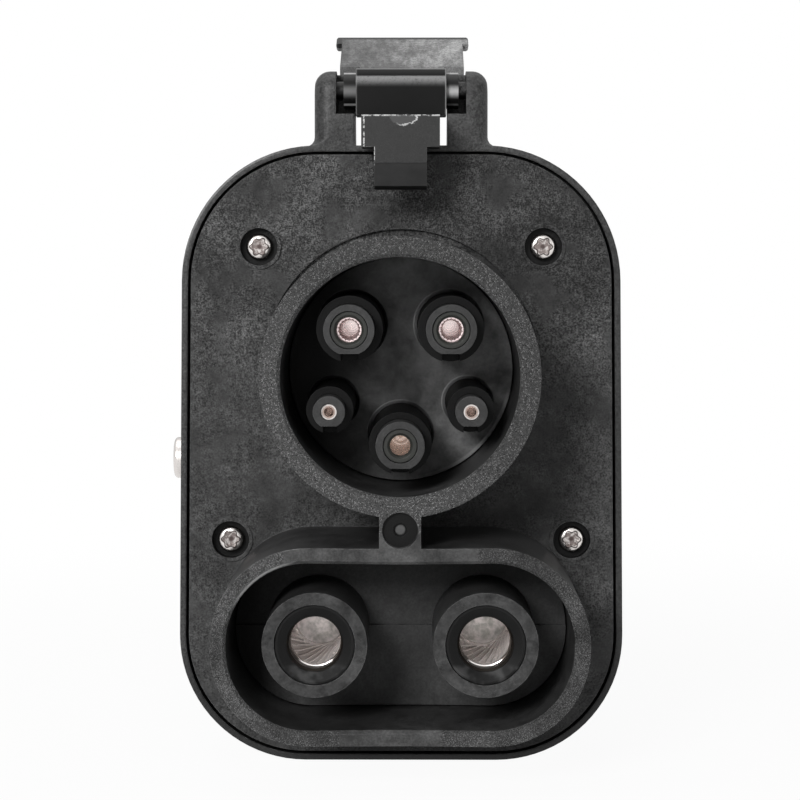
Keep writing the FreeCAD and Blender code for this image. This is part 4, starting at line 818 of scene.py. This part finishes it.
def loft(work, loops, closed=False):
    """Faces between loops of points; closed joins the last loop to the first."""
    rows = [[work.verts.new(point) for point in loop] for loop in loops]
    pairs = list(zip(rows, rows[1:])) + ([(rows[-1], rows[0])] if closed else [])
    for near, far in pairs:
        for here in range(len(near)):
            nxt = (here + 1) % len(near)
            work.faces.new((near[here], near[nxt], far[nxt], far[here]))
    if not closed:
        work.faces.new(rows[0][::-1])
        work.faces.new(rows[-1])


def cage_builder(axis, front, length, rim, waist, strips, twist, thick, rings=True):
    """Twisted contact strips, drawn in at the middle, with a ring at each end."""
    across, up = axis
    steps, ring_steps = 20, 48
    ring_width, bevel = 1.2, 0.15
    strip = ((-0.46, 0.5), (0.46, 0.5), (0.46, -0.1), (0.26, -0.45), (0.0, -0.6),
             (-0.26, -0.45), (-0.46, -0.1))
    ring = ((-1.0, bevel), (-1.0, ring_width - bevel), (-0.5, ring_width), (0.5, ring_width),
            (0.5, 0.0), (-0.5, 0.0))

    def point(radius, angle, back):
        return Vector((across + radius * cos(angle), back, up + radius * sin(angle))) * MM

    def build(work):
        for number in range(strips):
            loops = []
            for step in range(steps + 1):
                share = step / steps
                radius = waist + (rim - waist) * (2 * share - 1) ** 2
                middle = tau * number / strips + twist * share
                back = front + length * (0.04 + 0.92 * share)
                loops.append([point(radius + thick * out, middle + tau / strips * side, back)
                              for side, out in strip])
            loft(work, loops)
        for start in (front, front + length - ring_width) if rings else ():
            loft(work, [[point(rim + thick * out, tau * step / ring_steps, start + back)
                         for out, back in ring] for step in range(ring_steps)], closed=True)
    return build


def spring_builder(centre, radius, wire, low, high, turns):
    """A compression spring with a closed turn at each end."""
    across, back = centre
    sides, steps_per_turn, end_turns = 10, 28, 2
    steps = int(steps_per_turn * (turns + end_turns))

    def build(work):
        loops = []
        for step in range(steps + 1):
            turn = (turns + end_turns) * step / steps
            share = min(max((turn - 1) / turns, 0.0), 1.0)
            rise = low + wire / 2 + (high - low - wire) * share
            angle = tau * turn
            ring = []
            for side in range(sides):
                spin = tau * side / sides
                reach = radius + wire / 2 * cos(spin)
                ring.append(Vector((across + reach * cos(angle), back + reach * sin(angle),
                                    rise + wire / 2 * sin(spin))) * MM)
            loops.append(ring)
        loft(work, loops)
    return build


def colour_choice(name, description, default):
    """A colour that a user can change."""
    return FloatVectorProperty(name=name, description=description, size=4, subtype="COLOR",
                               min=0, max=1, default=default)


class AdapterFinishes(bpy.types.PropertyGroup):
    """Colours of the finishes."""

    plate_colour: colour_choice("Plate colour", "Colour of the face plate", grey(59))
    ring_colour: colour_choice("Nose front colour", "Colour of the sandy front of the nose",
                               grey(70))
    shroud_colour: colour_choice("Shroud front colour",
                                 "Colour of the grained front of the shroud", grey(67))
    shell_colour: colour_choice("Shell colour", "Colour of the body shell", grey(44))
    insert_colour: colour_choice("Insert colour", "Colour of the contact carriers", grey(50))
    bush_colour: colour_choice("Bush colour", "Colour of the bushes round the nose contacts",
                               grey(48))
    latch_colour: colour_choice("Latch colour", "Colour of the latch lever", grey(24))
    silver_colour: colour_choice("Silver colour", "Colour of the plated contacts",
                                 shade(240, 233, 231))
    copper_colour: colour_choice("Copper colour", "Colour of bare copper", shade(196, 150, 122))
    steel_colour: colour_choice("Steel colour", "Colour of screws, stud and spring",
                                shade(222, 217, 214))
    board_colour: colour_choice("Board colour", "Colour of the circuit board",
                                shade(38, 84, 48))


class AdapterPieces(bpy.types.PropertyGroup):
    """Sizes of the fine pieces."""

    cage_strips: IntProperty(name="Cage strips", description="Strips in a DC contact cage",
                             min=8, max=60, default=24)
    cage_twist: FloatProperty(name="Cage twist", description="Turn of a strip from front to back",
                              default=radians(62), subtype="ANGLE", unit="ROTATION")
    liner_strips: IntProperty(name="Liner strips", description="Strips in a line contact liner",
                              min=8, max=40, default=18)
    liner_twist: FloatProperty(name="Liner twist", description="Turn of a liner strip",
                               default=radians(75), subtype="ANGLE", unit="ROTATION")
    spring_wire: FloatProperty(name="Spring wire", description="Thickness of the spring wire",
                               default=0.9 * MM, subtype="DISTANCE", unit="LENGTH")
    spring_radius: FloatProperty(name="Spring radius",
                                 description="From the spring's axis to the middle of its wire",
                                 default=2.75 * MM, subtype="DISTANCE", unit="LENGTH")
    spring_turns: FloatProperty(name="Spring turns",
                                description="Open turns between the two closed ones", min=1,
                                default=4.5)


class AdapterStage(bpy.types.PropertyGroup):
    """Light and camera."""

    key_power: FloatProperty(name="Key lamp", description="Power of the lamp at the upper left",
                             default=9.2, subtype="POWER", unit="POWER")
    fill_power: FloatProperty(name="Fill lamp", description="Power of the lamp at the right",
                              default=0.55, subtype="POWER", unit="POWER")
    top_power: FloatProperty(name="Top lamp", description="Power of the lamp overhead",
                             default=2.4, subtype="POWER", unit="POWER")
    lens: FloatProperty(name="Lens", description="Focal length of the camera in millimetres",
                        default=98.6, subtype="DISTANCE_CAMERA", unit="CAMERA")


class ADAPTER_OT_finish_mouldings(bpy.types.Operator):
    """Give every plastic and rubber part its finish"""

    bl_idname = "adapter.finish_mouldings"
    bl_label = "Finish mouldings"

    def execute(self, context):
        colours = context.scene.adapter_finishes
        dress(["face_plate"], finish_plate(colours))
        dress(["rear_shell"], finish_shell(colours))
        dress(["nose_insert"], finish_nose_floor(colours))
        dress(["dc_insert"], finish_dc_floor(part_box("dc_insert")[0].y / MM))
        dress(["latch_lever"], finish_latch(colours))
        dress(both("line_tower") + ["pilot_tower", "proximity_tower", "ground_tower"],
              finish_moulding("contact tower", grey(10), 0.5, contrast=0.3, grain_size=0.35,
                              depth=0.02, rubbed=0.12, specular=0.11))
        dress(both("line_bush") + ["pilot_bush", "proximity_bush", "ground_bush"],
              finish_moulding("contact bush", colours.bush_colour, 0.5, contrast=0.5,
                              depth=0.02, rubbed=0.4, specular=0.24, size=3.0))
        dress(both("line_guard") + ["ground_guard"],
              finish_moulding("contact guard", shade(38, 39, 36), 0.42, contrast=0.2,
                              depth=0.01, rubbed=0.12))
        dress(both("dc_guard") + both("pin_tip"),
              finish_moulding("touch guard", grey(14), 0.5, contrast=0.35, depth=0.01,
                              rubbed=0.12, specular=0.16, size=5.0, scuffed_below=-44.6))
        dress(["inlet_body"], finish_moulding("inlet carrier", colours.insert_colour, 0.5))
        dress(["face_gasket", "inlet_gasket"],
              finish_moulding("seal rubber", grey(28), 0.7, contrast=0.2, grain_size=0.5,
                              depth=0.04, rubbed=0.0, specular=0.3))
        for lead, colour in (("pilot", shade(188, 60, 40)), ("proximity", shade(52, 84, 160))):
            dress([f"{lead}_lead"],
                  finish_moulding(f"{lead} lead cover", colour, 0.45, contrast=0.08,
                                  grain_size=0.6, depth=0.01, rubbed=0.0))
        return {"FINISHED"}


class ADAPTER_OT_finish_metals(bpy.types.Operator):
    """Give every contact, bar, screw and pin its finish"""

    bl_idname = "adapter.finish_metals"
    bl_label = "Finish metals"

    def execute(self, context):
        colours = context.scene.adapter_finishes
        silver, copper, steel = colours.silver_colour, colours.copper_colour, colours.steel_colour
        for side, axis in DC_AXES.items():
            # Painted shade: each socket's mouth in front of its cage is painted near black.
            cage_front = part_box(f"dc_lamella_{side}")[0].y / MM
            dress([f"dc_socket_{side}"],
                  finish_metal(f"silver plate, DC {side}", silver, 0.36, 0.5, axis,
                               tarnish=shade(160, 158, 152), metallic=0.8,
                               mouth=(cage_front, shade(40, 36, 32))))
        for side, axis in LINE_AXES.items():
            dress([f"line_socket_{side}"],
                  finish_metal(f"silver plate, line {side}", shade(248, 236, 234), 0.2, 0.35,
                               axis, stain=0.2, tarnish=shade(236, 220, 218), relief=0.0015))
        dress(["ground_socket"],
              finish_metal("tinned copper, ground contact", shade(206, 190, 180), 0.22, 0.9,
                           GROUND_AXIS, stain=0.4, tarnish=shade(190, 172, 162), relief=0.02))
        for name in ("pilot_socket", "proximity_socket"):
            middle = middle_of(name)
            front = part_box(name)[0].y / MM
            dress([name],
                  finish_metal(f"silver plate, {name}", shade(206, 200, 197), 0.24, 0.4,
                               (middle.x, middle.z), stain=0.5, tarnish=shade(150, 144, 140),
                               deep=(front + 0.6, shade(226, 210, 202)),
                               inner=(0.98, shade(166, 149, 141))))
        dress(both("inlet_power_pin") + ["inlet_ground_pin", "inlet_pilot_pin",
                                         "inlet_proximity_pin"],
              finish_metal("silver plate, inlet pins", silver, 0.25, 0.5))
        dress(both("busbar") + ["ground_bar"],
              finish_metal("rolled copper", copper, 0.34, 0.8, stain=0.5,
                           tarnish=shade(150, 104, 78)))
        for name in [name for end in ENDS for name in both(f"plate_screw_{end}")]:
            middle = middle_of(name)
            dress([name], finish_screw(f"plated steel, {name}", steel, (middle.x, middle.z)))
        dress([name for end in ENDS for name in both(f"inlet_screw_{end}")]
              + ["side_stud", "latch_spring"],
              finish_metal("bright steel", steel, 0.24, 0.4, relief=0.01))
        dress(["latch_pin"], finish_metal("dark steel pin", grey(46), 0.4, 0.4))
        return {"FINISHED"}


class ADAPTER_OT_finish_electronics(bpy.types.Operator):
    """Give the circuit board and the temperature beads their finish"""

    bl_idname = "adapter.finish_electronics"
    bl_label = "Finish electronics"

    def execute(self, context):
        dress(["circuit_board"], finish_board(context.scene.adapter_finishes))
        dress(both("temperature_sensor"),
              finish_moulding("sensor bead", shade(60, 58, 54), 0.35, contrast=0.1,
                              grain_size=0.5, depth=0.01, rubbed=0.0))
        return {"FINISHED"}


class ADAPTER_OT_add_contact_cages(bpy.types.Operator):
    """Put a cage of twisted strips in each DC contact"""

    bl_idname = "adapter.add_contact_cages"
    bl_label = "Add contact cages"

    def execute(self, context):
        sizes = context.scene.adapter_pieces
        silver = context.scene.adapter_finishes.silver_colour
        thick = 0.5
        drawn_in = 0.75
        for side, axis in DC_AXES.items():
            name = f"contact_cage_{side}"
            low, high = (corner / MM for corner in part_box(f"dc_lamella_{side}"))
            radius = (high.x - low.x) / 2
            build = cage_builder(axis, low.y, high.y - low.y, radius - thick / 2,
                                 radius - drawn_in, sizes.cage_strips, sizes.cage_twist, thick)
            new_piece(name, finish_cage(f"cage silver {side}", silver, axis, low.y),
                      mesh_from(build, name),
                      replaces=(f"dc_lamella_{side}",))
        return {"FINISHED"}


class ADAPTER_OT_add_line_liners(bpy.types.Operator):
    """Put a liner of twisted strips in each line contact"""

    bl_idname = "adapter.add_line_liners"
    bl_label = "Add line liners"

    def execute(self, context):
        sizes = context.scene.adapter_pieces
        finish = finish_metal("liner silver", shade(250, 236, 234), 0.2, 0.6, stain=0.25,
                              tarnish=shade(240, 218, 218), metallic=0.8)
        for side, axis in LINE_AXES.items():
            name = f"line_liner_{side}"
            build = cage_builder(axis, front=-23.9, length=12.0, rim=1.78, waist=1.42,
                                 strips=sizes.liner_strips, twist=sizes.liner_twist, thick=0.26,
                                 rings=False)
            new_piece(name, finish, mesh_from(build, name))
        return {"FINISHED"}


class ADAPTER_OT_add_latch_spring(bpy.types.Operator):
    """Put a round wire spring with closed ends under the latch"""

    bl_idname = "adapter.add_latch_spring"
    bl_label = "Add latch spring"

    def execute(self, context):
        sizes = context.scene.adapter_pieces
        low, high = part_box("latch_spring")
        middle = middle_of("latch_spring")
        build = spring_builder((middle.x, middle.y), sizes.spring_radius / MM,
                               sizes.spring_wire / MM, low.z / MM, high.z / MM,
                               sizes.spring_turns)
        finish = finish_metal("spring wire", context.scene.adapter_finishes.steel_colour, 0.3,
                              0.3)
        piece = new_piece("wound_spring", finish, mesh_from(build, "wound_spring"),
                          body=None, replaces=("latch_spring",))
        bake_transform(piece)
        return {"FINISHED"}


class ADAPTER_OT_add_stage(bpy.types.Operator):
    """Set up the floor, the lamps, the surroundings and the camera"""

    bl_idname = "adapter.add_stage"
    bl_label = "Add stage"

    def execute(self, context):
        stage = context.scene.adapter_stage
        add_floor()
        add_world(context.scene)
        add_lamp("key lamp", (-0.38, -0.9, 0.4), 0.3, stage.key_power)
        add_lamp("fill lamp", (0.75, -0.7, 0.05), 0.5, stage.fill_power)
        add_lamp("top lamp", (-0.1, 0.0, 0.8), 0.7, stage.top_power)
        eye = bpy.data.cameras.new("photo camera")
        eye.lens = stage.lens
        eye.sensor_width = 36.0
        eye.clip_start = 0.01
        eye.shift_y = -0.05
        camera = link("photo camera", eye)
        camera.location = EYE_PLACE
        camera.rotation_euler = Euler((EYE_TILT, 0.0, EYE_TURN))
        context.scene.camera = camera
        context.scene.view_settings.view_transform = "Standard"
        return {"FINISHED"}


def add_floor():
    """A pale round floor that fades into the white surroundings and keeps a faint shadow."""
    level = CAD_BOX[0][2]
    sides = 64

    def build(work):
        centre = work.verts.new((0.0, 0.0, level))
        rings = [[work.verts.new((reach * cos(tau * step / sides), reach * sin(tau * step / sides),
                                  level)) for step in range(sides)] for reach in (0.3, 1.0, 6.0)]
        for step in range(sides):
            nxt = (step + 1) % sides
            work.faces.new((centre, rings[0][step], rings[0][nxt]))
            for near, far in zip(rings, rings[1:]):
                work.faces.new((near[step], far[step], far[nxt], near[nxt]))

    material = bpy.data.materials.new("pale floor")
    material.use_nodes = True
    board = Board(material.node_tree)
    nodes = material.node_tree.nodes
    shader = nodes["Principled BSDF"]
    place = board.vector("SCALE", board.add("TexCoord").outputs["Object"], Scale=1 / MM)
    tone = board.smudges(place, 60.0, 0.01)
    board.feed(shader.inputs["Base Color"], board.tint(grey(240), tone))
    shader.inputs["Roughness"].default_value = 0.9
    path = board.add("LightPath").outputs
    seen = board.most(path["Is Camera Ray"], path["Is Glossy Ray"], path["Is Transmission Ray"])
    away = board.span(board.length(place), 110.0, 300.0, 0.95, 1.0)
    white = board.add("Emission", {"Color": (1, 1, 1, 1), "Strength": 1.0})
    mixed = board.add("MixShader", {0: board.times(seen, away), 1: shader.outputs[0],
                                    2: white.outputs[0]})
    board.feed(nodes["Material Output"].inputs["Surface"], mixed.outputs[0])
    mesh = mesh_from(build, "studio floor")
    mesh.materials.append(material)
    link("studio_floor", mesh)


def add_world(scene):
    """White surroundings to the eye; what gloss reflects is a room with soft light areas."""
    world = bpy.data.worlds.new("studio")
    scene.world = world
    world.use_nodes = True
    board = Board(world.node_tree)
    across, back, up = board.parts(board.add("TexCoord").outputs["Generated"])
    room = board.plus(0.72, board.times(board.span(up, 0.4, 0.8), 0.25),
                      board.times(board.span(up, 0.02, -0.22), 0.1),
                      board.times(board.span(board.apart(across), 0.5, 0.85), 0.15),
                      board.times(board.span(back, -0.95, -0.985), 0.8))
    path = board.add("LightPath").outputs
    reflected = board.most(path["Is Glossy Ray"], path["Is Transmission Ray"])
    strength = board.mix(path["Is Camera Ray"], board.mix(reflected, 0.07, room), 1.0)
    backdrop = world.node_tree.nodes["Background"]
    backdrop.inputs["Color"].default_value = (1, 1, 1, 1)
    board.feed(backdrop.inputs["Strength"], strength)


def add_lamp(name, place, size, power):
    """A square soft lamp that points at the part."""
    aim = Vector((0.0, 0.0, -0.012))
    lamp = bpy.data.lights.new(name, "AREA")
    lamp.size = size
    lamp.energy = power
    holder = link(name, lamp)
    holder.location = place
    holder.rotation_euler = (aim - Vector(place)).to_track_quat("-Z", "Y").to_euler()


class ADAPTER_PT_dressing(bpy.types.Panel):
    """Lists the dressing steps and their values"""

    bl_label = "Charging adapter"
    bl_idname = "ADAPTER_PT_dressing"
    bl_space_type = "VIEW_3D"
    bl_region_type = "UI"
    bl_category = "Adapter"

    def draw(self, context):
        for title, group, steps in (
                ("Finishes", context.scene.adapter_finishes,
                 ("adapter.finish_mouldings", "adapter.finish_metals",
                  "adapter.finish_electronics")),
                ("Pieces", context.scene.adapter_pieces,
                 ("adapter.add_contact_cages", "adapter.add_line_liners",
                  "adapter.add_latch_spring")),
                ("Stage", context.scene.adapter_stage, ("adapter.add_stage",))):
            box = self.layout.box()
            box.label(text=title)
            for name in group.__annotations__:
                box.prop(group, name)
            for step in steps:
                box.operator(step)


CLASSES = (
    AdapterFinishes,
    AdapterPieces,
    AdapterStage,
    ADAPTER_OT_finish_mouldings,
    ADAPTER_OT_finish_metals,
    ADAPTER_OT_finish_electronics,
    ADAPTER_OT_add_contact_cages,
    ADAPTER_OT_add_line_liners,
    ADAPTER_OT_add_latch_spring,
    ADAPTER_OT_add_stage,
    ADAPTER_PT_dressing,
)


def register():
    for cls in CLASSES:
        bpy.utils.register_class(cls)
    bpy.types.Scene.adapter_finishes = PointerProperty(type=AdapterFinishes)
    bpy.types.Scene.adapter_pieces = PointerProperty(type=AdapterPieces)
    bpy.types.Scene.adapter_stage = PointerProperty(type=AdapterStage)


def unregister():
    del bpy.types.Scene.adapter_stage
    del bpy.types.Scene.adapter_pieces
    del bpy.types.Scene.adapter_finishes
    for cls in reversed(CLASSES):
        bpy.utils.unregister_class(cls)


def main():
    register()
    bpy.ops.adapter.finish_mouldings()
    bpy.ops.adapter.finish_metals()
    bpy.ops.adapter.finish_electronics()
    bpy.ops.adapter.add_contact_cages()
    bpy.ops.adapter.add_line_liners()
    bpy.ops.adapter.add_latch_spring()
    bpy.ops.adapter.add_stage()


if __name__ == "__main__":
    main()
